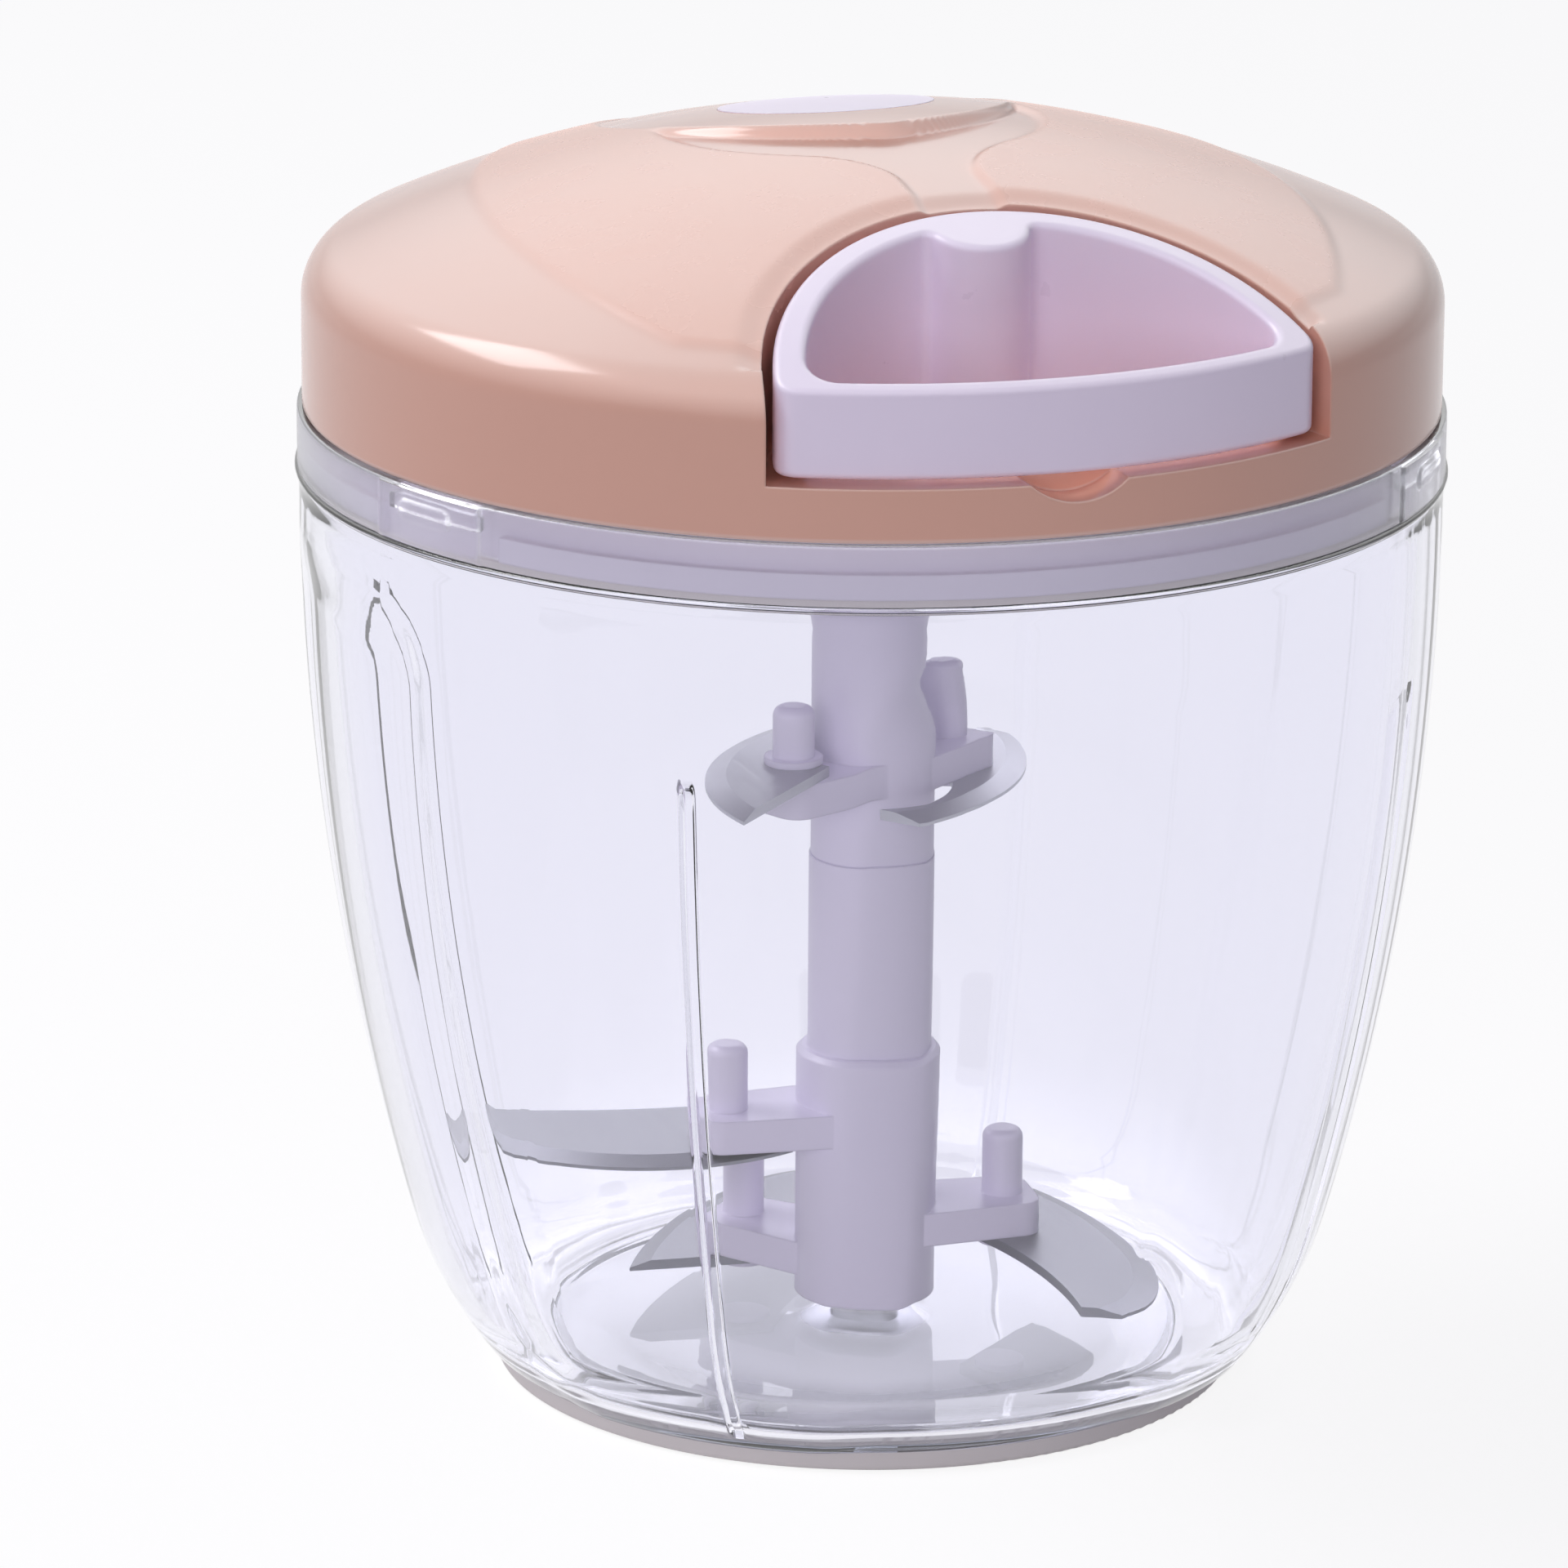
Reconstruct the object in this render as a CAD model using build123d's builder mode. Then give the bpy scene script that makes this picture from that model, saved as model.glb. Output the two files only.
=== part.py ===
"""Hand food chopper with a pull cord: clear bowl, domed lid with a return reel, five-blade column."""

import os
from math import acos, cos, degrees, hypot, radians, sin, sqrt

from build123d import *

os.makedirs("parts", exist_ok=True)

# All lengths are in millimetres. Z is up, the bowl stands on Z = 0 and the handle pulls towards -Y.

# Clearances
running_gap = 0.05  # a shaft in its bearing, on the radius
fixed_gap = 0.05  # a screw, pin or plug in its hole
loose_gap = 0.35  # pieces that pass each other

# Bowl wall line, outside
waist_in = 3.0  # inside the top of the wall
waist_height = 60.0
knee_in = 11.2
knee_height = 20.0
heel_in = 20.3
bowl_wall = 2.8
floor_top = 4.4
floor_bottom = 0.8
floor_corner = 5.0

# Bowl collar and bayonet hooks
collar_bottom = 107.5
collar_height = 7.5
collar_radius = 65.9
collar_step = 0.2  # over the top of the wall
collar_wall = 1.75
bead_proud = 0.3
bead_height = 0.8
pad_proud = 0.15
pad_half_angle = 7.6
lock_angles = (-158.6, -38.6, 81.4)  # directions of the three locks, from +X
bump_length = 9.0
bump_height = 2.4
bump_centre = 4.9  # above the foot of the collar
hook_half_angle = 6.5
hook_depth = 1.05
hook_thickness = 1.5
hook_gap = 0.3  # over the lid flange

# Flutes and inner ribs of the bowl
flute_half_width = 18.5
flute_depth = 1.6
flute_top_gap = 9.5  # under the collar
flute_corner = 7.0
rib_angle = 51.3 - 90.0
rib_width = 1.4
rib_top_gap = 20.2  # under the collar

# Foot ring
foot_inset = 2.0  # inside the heel
foot_width = 6.1
foot_height = 2.4
foot_round = 0.6

# Pivot pin and its boss
pin_radius = 2.5
pin_top = 26.0
pin_sunk = 2.2
pin_boss_radius = 5.2
pin_boss_height = 1.6

# Blade column
hub_floor_gap = 1.4  # over the pin's boss
hub_step = 1.3
hub_step_height = 37.5
hub_neck_radius = 6.9
hub_joint_height = 60.8
hub_top_gap = 1.0  # under the lid bearing
plug_width = 7.0
plug_length = 9.8
socket_radius = 5.2
socket_wall = 1.5
socket_depth = 8.5
dog_floor_gap = 0.9  # over the socket floor
dog_width = 2.1
dog_core_radius = 2.8
dog_lead_angle = 46.0  # each fin stands this far behind the rib that it drives

# Blade arms, their pegs and the blades
arm_reach = 20.5
arm_root_width = 13.0
arm_tip_width = 10.0
arm_thickness = 4.0
peg_radius = 2.4
peg_height = 8.0
peg_round = 1.2
lower_peg_inset = 3.7  # from the arm's end
upper_arm_reach = 17.0
upper_peg_inset = 4.6  # from the arm's end
stake_radius = 1.9
stake_head_radius = 2.9
stake_head_height = 0.8
blade_thickness = 1.2
grind_width = 2.4
grind_depth = 0.8
mid_arm_angle = 175.6
mid_arm_height = 26.9
low_arm_angles = (-5.4, 128.6)
low_arm_heights = (13.9, 9.6)
upper_arm_angles = (205.6, 25.6)
upper_arm_height = 69.0

# Blade outlines, measured from the peg: X out along the arm, Y towards the cut
mid_heel = (-7.3, 2.6)
mid_edge = (6.2, 5.5)
mid_turn = (19.9, 0.9)
mid_tip = (29.2, -19.5)
mid_back = (15.2, -15.0)
mid_root = (1.2, -13.0)
low_heel = (7.8, 13.0)
low_edge = (12.2, -1.0)
low_turn = (12.7, -20.0)
low_tip = (5.2, -32.0)
low_tip_end = (0.8, -30.0)
low_back = (0.2, -15.0)
low_root = (-4.6, 1.0)
upper_heel = (18.9, 10.9)
upper_edge = (8.4, -5.7)
upper_tip = (-18.2, -12.6)
upper_tip_end = (-18.2, -8.9)
upper_back = (-5.6, -6.3)
upper_root = (-1.7, 4.1)

# Seal and lid base
seal_height = 1.1
seal_inset = 0.1
base_plate = 1.8
flange_height = 2.9
flange_gap = 0.3
base_wall = 1.8
base_skirt_height = 9.4
notch_spare_angle = 2.5
bearing_radius = 6.0
bearing_wall = 3.0
bearing_above = 1.6  # over the plate
bearing_below = 2.6  # under the plate

# Lid cover
lid_inset = 0.6  # inside the collar
lid_seat_gap = 0.2
lid_skirt_height = 16.3
lid_dome_rise = 15.3
lid_shoulder = 6.3
cover_wall = 2.0
petal_crown_rise = 0.8
petal_edge_drop = 0.4
petal_arc_radius = 82.6
petal_arc_offset = 35.9
petal_arc_back = -8.7
petal_rim_inset = 6.8  # inside the lid's edge
petal_corner = 8.0
lane_half_width = 4.7
lane_round_radius = 22.2  # lane round the front of the plateau
lane_round_back = 8.5
plateau_rise = 1.5
plateau_forward = 7.0  # crown of the plateau, in front of the lid's axis
plateau_arc_radius = 30.3
plateau_arc_offset = 6.4
plateau_back = 23.8
plateau_nose = 4.0
disc_back = 16.0
disc_radius = 12.5
disc_thickness = 0.9

# Handle and its pocket
handle_back_radius = 32.3
handle_front_inset = 1.0  # inside the lid's edge
handle_lift = 6.8  # over the bottom of the lid cover
handle_rim = 3.7
handle_front_wall = 2.4
handle_shoulder = 0.6
handle_corner = 3.0
handle_inner_corner = 4.0
handle_below_dome = 0.1
handle_boss_radius = 6.0
handle_boss_forward = 3.4  # boss centre, in front of the handle's back
knot_forward = 1.0  # knot centre, in front of the boss centre
handle_edge_round = 0.9
boss_corner = 1.2
pocket_gap = 1.2
pocket_floor_gap = 0.7  # under the handle
pocket_wall = 1.6
rebate_half_width = 34.2
rebate_depth = 1.3
scoop_radius = 8.45
scoop_drop = 2.2  # under the pocket floor
scoop_length = 5.0
scoop_wall = 1.0

# Cord, its winding, eyelet and knot
cord_diameter = 2.0
cord_rise = 5.0  # over the bottom of the handle
winding_pitch = 2.5
winding_half_turns = 5
winding_start_gap = 0.3
cord_bend_gap = 0.8  # from the reel's edge to where the cord turns towards the handle
cord_bend_radius = 3.0
eyelet_gap = 0.35
eyelet_wall = 0.85
eyelet_flange = 0.8
knot_radius = 2.4
knot_gap = 0.5
cord_hole_gap = 0.4

# Reel, spring and drive
washer_thickness = 0.6
coupling_disc_radius = 9.5
coupling_disc = 1.8
coupling_below_bearing = 0.4
reel_floor = 1.6
drum_radius = 15.0
drum_wall = 1.4
reel_flange_depth = 9.0
reel_clearance = 1.9  # to the eyelet
reel_flange = 1.2
groove_height = 3.2
spring_width = 8.0
spring_strip = 0.4
spring_half_turns = 12
spring_rim_gap = 1.15  # to the drum
spring_floor_gap = 1.0
spring_slot = 1.0
cap_thickness = 1.2
cap_below_rim = 1.4
arbor_radius = 4.4
arbor_gap = 0.1
arbor_floor_gap = 0.6
arbor_flange_radius = 7.5
arbor_flange = 1.6
arbor_rise = 6.2  # over the reel
arbor_screw_radius = 1.5
arbor_screw_head_radius = 2.7
arbor_screw_head = 2.2
arbor_screw_bite = 7.0
coupling_screw_circle = 7.6
coupling_screw_radius = 0.9
coupling_screw_head_radius = 1.6
coupling_screw_head = 0.9
coupling_screw_bite = 1.4

# Lid screws
lid_screw_radius = 1.45
lid_screw_head_radius = 2.9
lid_screw_head = 1.7
lid_screw_bite = 11.0
lid_boss_radius = 4.0
lid_boss_inset = 8.0  # from the wall of the lid base

# Heights and radii worked out from the sizes above
heel_height = foot_height
wall_top_radius = collar_radius - collar_step
waist_radius = wall_top_radius - waist_in
knee_radius = wall_top_radius - knee_in
heel_radius = wall_top_radius - heel_in
foot_radius = heel_radius - foot_inset
foot_bore = foot_radius - foot_width
bead_radius = collar_radius + bead_proud
pad_radius = collar_radius + pad_proud
flute_top = collar_bottom - flute_top_gap
rib_top = collar_bottom - rib_top_gap
collar_top = collar_bottom + collar_height
collar_bore = collar_radius - collar_wall
base_bottom = collar_bottom + seal_height
base_top = base_bottom + base_plate
flange_radius = collar_bore - flange_gap
hook_bore = collar_bore - hook_depth
hook_bottom = base_bottom + flange_height + hook_gap
base_radius = hook_bore - loose_gap
base_skirt_top = base_bottom + base_skirt_height
cover_bottom = collar_top + lid_seat_gap
lid_radius = collar_radius - lid_inset
lid_edge = cover_bottom + lid_skirt_height
lid_crown = lid_edge + lid_dome_rise
petal_rim = lid_radius - petal_rim_inset
lid_screw_offset = (base_radius - base_wall - lid_boss_radius - lid_boss_inset) / sqrt(2)
handle_bottom = cover_bottom + handle_lift
pocket_floor = handle_bottom - pocket_floor_gap
scoop_bottom = pocket_floor - scoop_drop
cord_height = handle_bottom + cord_rise
bearing_top = base_top + bearing_above
bearing_bottom = base_bottom - bearing_below
hub_bottom = floor_top + pin_boss_height + hub_floor_gap
hub_top = bearing_bottom - hub_top_gap
hub_lower_radius = hub_neck_radius + hub_step
hub_upper_radius = socket_radius + socket_wall
lower_peg_distance = arm_reach - lower_peg_inset
upper_peg_distance = upper_arm_reach - upper_peg_inset
dog_top = bearing_bottom - coupling_below_bearing
dog_bottom = hub_top - socket_depth + dog_floor_gap
dog_length = dog_top - dog_bottom
coupling_bottom = bearing_top + washer_thickness
coupling_top = coupling_bottom + coupling_disc
reel_floor_top = coupling_top + reel_floor
groove_bottom = cord_height - groove_height / 2
groove_top = cord_height + groove_height / 2
reel_top = groove_top + reel_flange
drum_bore = drum_radius - drum_wall
arbor_bottom = reel_floor_top + arbor_floor_gap
arbor_seat = reel_top + arbor_rise
cord_radius = cord_diameter / 2
reel_flange_radius = drum_radius + reel_flange_depth
cord_bend_distance = reel_flange_radius + cord_bend_gap
eyelet_bore = cord_radius + eyelet_gap
eyelet_seat = -reel_flange_radius - reel_clearance - eyelet_flange
pocket_back = eyelet_seat - pocket_wall
handle_back = pocket_back - pocket_gap
handle_back_centre = handle_back - handle_back_radius
handle_front_radius = lid_radius - handle_front_inset
spring_inner_radius = arbor_radius + loose_gap + spring_strip / 2
spring_pitch = 2 * (drum_bore - spring_rim_gap - spring_inner_radius) / spring_half_turns
far = 4 * collar_radius


def disc(radius, bottom, height, at=(0, 0)):
    """Upright cylinder, standing on a height."""
    with BuildPart(Plane.XY.offset(bottom)) as piece:
        with Locations(at):
            Cylinder(radius, height, align=(Align.CENTER, Align.CENTER, Align.MIN))
    return piece.part


def sector(bottom, inner, outer, middle_angle, half_angle):
    """Part of a flat ring at a height, to both sides of a direction."""
    start = middle_angle - half_angle
    with BuildSketch(Plane.XY.offset(bottom)) as piece:
        with BuildLine():
            outside = CenterArc((0, 0), outer, start, 2 * half_angle)
            inside = CenterArc((0, 0), inner, start, 2 * half_angle)
            Line(outside @ 0, inside @ 0)
            Line(outside @ 1, inside @ 1)
        make_face()
    return piece.sketch


# Bowl

def wall_section(inset, bottom):
    """Half section of all that lies inside the bowl's wall line, moved inwards by inset."""
    with BuildSketch(Plane.XZ) as section:
        with BuildLine():
            upper = ThreePointArc(
                (wall_top_radius - inset, collar_bottom),
                (waist_radius - inset, waist_height),
                (knee_radius - inset, knee_height),
            )
            lower = TangentArc(upper @ 1, (heel_radius - inset, heel_height), tangent=upper % 1)
            Polyline(lower @ 1, (0, heel_height), (0, collar_bottom), upper @ 0)
        make_face()
        with Locations((0, bottom)):
            Rectangle(far, far, align=(Align.CENTER, Align.MIN), mode=Mode.INTERSECT)
        if bottom > heel_height:
            corner = section.vertices().group_by(Axis.Y)[0].sort_by(Axis.X)[-1]
            fillet(corner, floor_corner)
    return section.sketch


def flute_outline(plane, spread):
    """Outline of a flute seen from outside, wider and taller by spread."""
    with BuildSketch(plane) as outline:
        Rectangle(2 * (flute_half_width + spread), flute_top + spread, align=(Align.CENTER, Align.MIN))
        fillet(outline.vertices().group_by(Axis.Y)[-1], flute_corner + spread)
    return outline.sketch


flute_planes = (Plane.XZ, Plane.YZ)
outer_wall = wall_section(0, heel_height)
fluted_wall = wall_section(flute_depth, heel_height)
inner_wall = wall_section(bowl_wall, floor_top)
narrow_wall = wall_section(bowl_wall + flute_depth, floor_top)
outer_flutes = [flute_outline(plane, 0) for plane in flute_planes]
inner_flutes = [flute_outline(plane, bowl_wall / 2) for plane in flute_planes]

with BuildPart() as bowl_space:
    revolve(inner_wall, axis=Axis.Z)
    for flute in inner_flutes:
        extrude(flute, amount=far, both=True, mode=Mode.SUBTRACT)
    with BuildSketch(Plane.XY.offset(floor_top)):
        with PolarLocations(0, 2, start_angle=rib_angle, angular_range=180):
            Rectangle(far, rib_width)
    extrude(amount=rib_top - floor_top, mode=Mode.SUBTRACT)
    revolve(narrow_wall, axis=Axis.Z)

with BuildPart() as bowl:
    revolve(outer_wall, axis=Axis.Z)
    for flute in outer_flutes:
        extrude(flute, amount=far, both=True, mode=Mode.SUBTRACT)
    revolve(fluted_wall, axis=Axis.Z)
    add(disc(foot_bore - fixed_gap, floor_bottom, heel_height - floor_bottom))
    add(disc(collar_radius, collar_bottom, collar_height))
    add(disc(bead_radius, collar_bottom, bead_height))
    for angle in lock_angles:
        extrude(sector(collar_bottom, collar_bore, pad_radius, angle, pad_half_angle), amount=collar_height)
        outward = (cos(radians(angle)), sin(radians(angle)), 0)
        sideways = (-sin(radians(angle)), cos(radians(angle)), 0)
        face = Plane(
            origin=Vector(*outward) * collar_bore + Vector(0, 0, collar_bottom + bump_centre),
            x_dir=sideways,
            z_dir=outward,
        )
        with BuildSketch(face):
            SlotOverall(bump_length, bump_height)
        extrude(amount=bead_radius - collar_bore)
    add(bowl_space.part, mode=Mode.SUBTRACT)
    add(disc(collar_bore, collar_bottom, far), mode=Mode.SUBTRACT)
    for angle in lock_angles:
        extrude(
            sector(hook_bottom, hook_bore, collar_bore + collar_wall / 2, angle, hook_half_angle),
            amount=hook_thickness,
        )
    add(disc(pin_boss_radius, floor_top, pin_boss_height))
    add(disc(pin_radius + fixed_gap, floor_top - pin_sunk, far), mode=Mode.SUBTRACT)
bowl.part.label = "bowl"
export_step(bowl.part, "parts/bowl.step")

with BuildPart() as foot_ring:
    add(disc(foot_radius, 0, foot_height))
    add(disc(foot_bore, 0, foot_height), mode=Mode.SUBTRACT)
    fillet(foot_ring.edges().group_by(Axis.Z)[0], foot_round)
foot_ring.part.label = "foot_ring"
export_step(foot_ring.part, "parts/foot_ring.step")

with BuildPart() as pivot_pin:
    add(disc(pin_radius, floor_top - pin_sunk, pin_top - floor_top + pin_sunk))
    fillet(pivot_pin.edges().group_by(Axis.Z)[-1], pin_radius / 2)
pivot_pin.part.label = "pivot_pin"
export_step(pivot_pin.part, "parts/pivot_pin.step")


# Blade column

def arm_plane(height, angle):
    """Plane at a height, with its X axis along an arm."""
    return Plane(origin=(0, 0, height), x_dir=(cos(radians(angle)), sin(radians(angle)), 0), z_dir=(0, 0, 1))


def blade_arm(height, angle, reach, peg_distance, blade_above=False):
    """One arm of the column, with the peg on it and the staked head that holds the blade."""
    plane = arm_plane(height, angle)
    stake_bottom = -blade_thickness - stake_head_height
    with BuildPart(plane) as arm:
        with BuildSketch(plane) as outline:
            with BuildLine():
                Polyline(
                    (0, -arm_root_width / 2),
                    (reach, -arm_tip_width / 2),
                    (reach, arm_tip_width / 2),
                    (0, arm_root_width / 2),
                    close=True,
                )
            make_face()
            fillet(outline.vertices().group_by(Axis.X)[-1], arm_tip_width / 4)
        extrude(amount=arm_thickness)
        with Locations((peg_distance, 0, 0)):
            Cylinder(
                peg_radius, arm_thickness + peg_height, align=(Align.CENTER, Align.CENTER, Align.MIN)
            )
        fillet(arm.edges().group_by(Axis.Z)[-1], peg_round)
        if blade_above:
            with Locations((peg_distance, 0, arm_thickness + blade_thickness)):
                Cylinder(
                    peg_radius + stake_head_radius - stake_radius,
                    stake_head_height,
                    align=(Align.CENTER, Align.CENTER, Align.MIN),
                )
        else:
            with Locations((peg_distance, 0, stake_bottom)):
                Cylinder(stake_radius, -stake_bottom, align=(Align.CENTER, Align.CENTER, Align.MIN))
                Cylinder(stake_head_radius, stake_head_height, align=(Align.CENTER, Align.CENTER, Align.MIN))
    return arm.part


def column_blade(bottom, angle, peg_distance, hole_radius, outline, edge_point):
    """One flat blade on an arm's peg, with the ground edge that passes near edge_point."""
    plane = arm_plane(bottom, angle)
    plane.origin = plane.from_local_coords(Vector(peg_distance, 0, 0))
    with BuildPart() as blade:
        extrude(plane * outline, amount=blade_thickness)
        top = blade.faces().sort_by(Axis.Z)[-1]
        near = plane.from_local_coords(Vector(*edge_point, blade_thickness))
        ground = top.edges().sort_by_distance(near)[0]
        chamfer(ground, length=grind_width, length2=grind_depth, reference=top)
        with Locations(plane.origin):
            Cylinder(hole_radius, far, mode=Mode.SUBTRACT)
    return blade.part


with BuildPart() as lower_blade_hub:
    add(disc(hub_lower_radius, hub_bottom, hub_step_height - hub_bottom))
    chamfer(lower_blade_hub.edges().group_by(Axis.Z)[-1], (hub_lower_radius - hub_neck_radius) / 2)
    add(disc(hub_neck_radius, hub_bottom, hub_joint_height - hub_bottom))
    add(blade_arm(mid_arm_height, mid_arm_angle, arm_reach, lower_peg_distance))
    for height, angle in zip(low_arm_heights, low_arm_angles):
        add(blade_arm(height, angle, arm_reach, lower_peg_distance))
    add(disc(pin_radius + running_gap, 0, pin_top + loose_gap), mode=Mode.SUBTRACT)
    with BuildSketch(Plane.XY.offset(hub_joint_height)):
        Rectangle(plug_width + 2 * fixed_gap, plug_width + 2 * fixed_gap)
    extrude(amount=-plug_length - loose_gap, mode=Mode.SUBTRACT)
lower_blade_hub.part.label = "lower_blade_hub"
export_step(lower_blade_hub.part, "parts/lower_blade_hub.step")

with BuildPart() as upper_blade_hub:
    add(disc(hub_upper_radius, hub_joint_height, hub_top - hub_joint_height))
    with BuildSketch(Plane.XY.offset(hub_joint_height)):
        Rectangle(plug_width, plug_width)
    extrude(amount=-plug_length)
    for angle, above in zip(upper_arm_angles, (True, False)):
        add(blade_arm(upper_arm_height, angle, upper_arm_reach, upper_peg_distance, above))
    add(disc(socket_radius, hub_top - socket_depth, socket_depth), mode=Mode.SUBTRACT)
    with BuildSketch(Plane.XY.offset(hub_top - socket_depth)):
        with PolarLocations((socket_radius + dog_core_radius + loose_gap) / 2, 3):
            Rectangle(socket_radius - dog_core_radius - loose_gap, dog_width)
    extrude(amount=socket_depth)
upper_blade_hub.part.label = "upper_blade_hub"
export_step(upper_blade_hub.part, "parts/upper_blade_hub.step")

with BuildSketch() as mid_outline:
    with BuildLine():
        keen = ThreePointArc(mid_heel, mid_edge, mid_turn)
        nose = TangentArc(keen @ 1, mid_tip, tangent=keen % 1)
        back = ThreePointArc(nose @ 1, mid_back, mid_root)
        Line(back @ 1, keen @ 0)
    make_face()

with BuildSketch() as low_outline:
    with BuildLine():
        keen = ThreePointArc(low_heel, low_edge, low_turn)
        nose = TangentArc(keen @ 1, low_tip, tangent=keen % 1)
        tip = Line(nose @ 1, low_tip_end)
        back = ThreePointArc(tip @ 1, low_back, low_root)
        Line(back @ 1, keen @ 0)
    make_face()

with BuildSketch() as upper_outline:
    with BuildLine():
        keen = ThreePointArc(upper_heel, upper_edge, upper_tip)
        tip = Line(keen @ 1, upper_tip_end)
        back = ThreePointArc(tip @ 1, upper_back, upper_root)
        Line(back @ 1, keen @ 0)
    make_face()

under = -blade_thickness
stake_hole = stake_radius + fixed_gap
peg_hole = peg_radius + fixed_gap
mid_bottom = mid_arm_height + under
blade_plan = [("mid_blade", mid_bottom, mid_arm_angle, lower_peg_distance, stake_hole, mid_outline, mid_edge)]
for letter, height, angle in zip("ab", low_arm_heights, low_arm_angles):
    name = "low_blade_" + letter
    blade_plan.append((name, height + under, angle, lower_peg_distance, stake_hole, low_outline, low_edge))
for letter, angle, level, hole in zip("ab", upper_arm_angles, (arm_thickness, under), (peg_hole, stake_hole)):
    name = "upper_blade_" + letter
    bottom = upper_arm_height + level
    blade_plan.append((name, bottom, angle, upper_peg_distance, hole, upper_outline, upper_edge))

for blade_name, bottom, angle, peg_distance, hole, outline, edge_point in blade_plan:
    blade = column_blade(bottom, angle, peg_distance, hole, outline.sketch, edge_point)
    blade.label = blade_name
    export_step(blade, "parts/" + blade_name + ".step")


# Seal and lid base

with BuildPart() as seal_ring:
    add(disc(flange_radius, collar_bottom, seal_height))
    add(disc(wall_top_radius - bowl_wall + seal_inset, collar_bottom, seal_height), mode=Mode.SUBTRACT)
seal_ring.part.label = "seal_ring"
export_step(seal_ring.part, "parts/seal_ring.step")

screw_places = [
    (across * lid_screw_offset, along * lid_screw_offset) for across in (-1, 1) for along in (-1, 1)
]

with BuildPart() as lid_base:
    add(disc(flange_radius, base_bottom, flange_height))
    for angle in lock_angles:
        notch = sector(base_bottom, base_radius, far, angle, hook_half_angle + notch_spare_angle)
        extrude(notch, amount=flange_height, mode=Mode.SUBTRACT)
    add(disc(base_radius, base_bottom, base_skirt_top - base_bottom))
    add(disc(base_radius - base_wall, base_top, far), mode=Mode.SUBTRACT)
    add(disc(bearing_radius + running_gap + bearing_wall, bearing_bottom, bearing_top - bearing_bottom))
    add(disc(bearing_radius + running_gap, 0, far), mode=Mode.SUBTRACT)
    for place in screw_places:
        add(disc(lid_screw_radius + fixed_gap, 0, far, place), mode=Mode.SUBTRACT)
lid_base.part.label = "lid_base"
export_step(lid_base.part, "parts/lid_base.step")

with BuildPart() as lid_screws:
    for place in screw_places:
        add(disc(lid_screw_head_radius, base_bottom - lid_screw_head, lid_screw_head, place))
        add(disc(lid_screw_radius, base_bottom, base_plate + lid_screw_bite, place))
lid_screws.part.label = "lid_screws"
export_step(lid_screws.part, "parts/lid_screws.step")


# Lid cover

def dome_section(inset, bottom, crown_rise=0.0, edge_drop=0.0, shoulder=lid_shoulder):
    """Half section of the lid's domed bulk, moved inwards by inset, down to a height."""
    reach = lid_radius - inset
    crown = lid_crown + crown_rise - inset
    edge = lid_edge - edge_drop - inset
    sphere = (reach**2 + (crown - edge) ** 2) / (2 * (crown - edge))
    middle = crown - sphere + sqrt(sphere**2 - (reach / 2) ** 2)
    with BuildSketch(Plane.XZ) as section:
        with BuildLine():
            dome = ThreePointArc((0, crown), (reach / 2, middle), (reach, edge))
            Polyline(dome @ 1, (reach, bottom), (0, bottom), (0, crown))
        make_face()
        fillet(section.vertices().group_by(Axis.X)[-1].sort_by(Axis.Y)[-1], shoulder - inset)
    return section.sketch


def back_circle(bottom, spread):
    """Round back of the handle and of its pocket, wider by spread."""
    with BuildSketch(Plane.XY.offset(bottom)) as outline:
        with Locations(Location((0, handle_back_centre), -90)):
            Circle(handle_back_radius + spread)
    return outline.sketch


def twin_arcs(radius, offset, back):
    """Field where two circles overlap, one to each side of the handle's line."""
    with BuildSketch(Plane.XY.offset(cover_bottom)) as field:
        with Locations((-offset, back)):
            Circle(radius)
        with Locations((offset, back)):
            Circle(radius, mode=Mode.INTERSECT)
    return field.sketch


with BuildSketch(Plane.XY.offset(cover_bottom)) as plateau_outline:
    add(twin_arcs(plateau_arc_radius, plateau_arc_offset, plateau_back))
    fillet(plateau_outline.vertices(), plateau_nose)


def petal_outline(side):
    """One of the two raised fields beside the handle, on the left with -1 and on the right with 1."""
    with BuildSketch(Plane.XY.offset(cover_bottom)) as outline:
        add(twin_arcs(petal_arc_radius, petal_arc_offset, petal_arc_back))
        Circle(petal_rim, mode=Mode.INTERSECT)
        with Locations((side * (lane_half_width + far / 2), 0)):
            Rectangle(far, far, mode=Mode.INTERSECT)
        with Locations((0, lane_round_back)):
            Circle(lane_round_radius, mode=Mode.SUBTRACT)
        lane_end = lane_round_back - sqrt(lane_round_radius**2 - lane_half_width**2)
        fillet(outline.vertices().sort_by_distance((side * lane_half_width, lane_end))[0], petal_corner)
        add(plateau_outline.sketch, mode=Mode.SUBTRACT)
    return outline.sketch


dome_bulk = dome_section(0, cover_bottom)
dome_space = dome_section(cover_wall, base_bottom)
petal_bulk = dome_section(0, cover_bottom, petal_crown_rise, petal_edge_drop)
plateau_section = dome_section(-plateau_rise, cover_bottom)
disc_seat_section = dome_section(-plateau_rise + disc_thickness, cover_bottom)
petals = [petal_outline(side) for side in (-1, 1)]
pocket_outline = back_circle(pocket_floor, pocket_gap)
pocket_block = back_circle(pocket_floor - pocket_wall, pocket_gap + pocket_wall)

cord_line = Plane(origin=(0, 0, cord_height), x_dir=(1, 0, 0), z_dir=(0, -1, 0))


def scoop_bulk(spread):
    """Round scoop under the front of the handle, wider and longer by spread."""
    with BuildPart() as bulk:
        with BuildSketch(cord_line.offset(lid_radius - scoop_length - spread)):
            with Locations((0, scoop_bottom + scoop_radius - cord_height)):
                Circle(scoop_radius + spread)
        extrude(amount=far)
    return bulk.part


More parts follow.
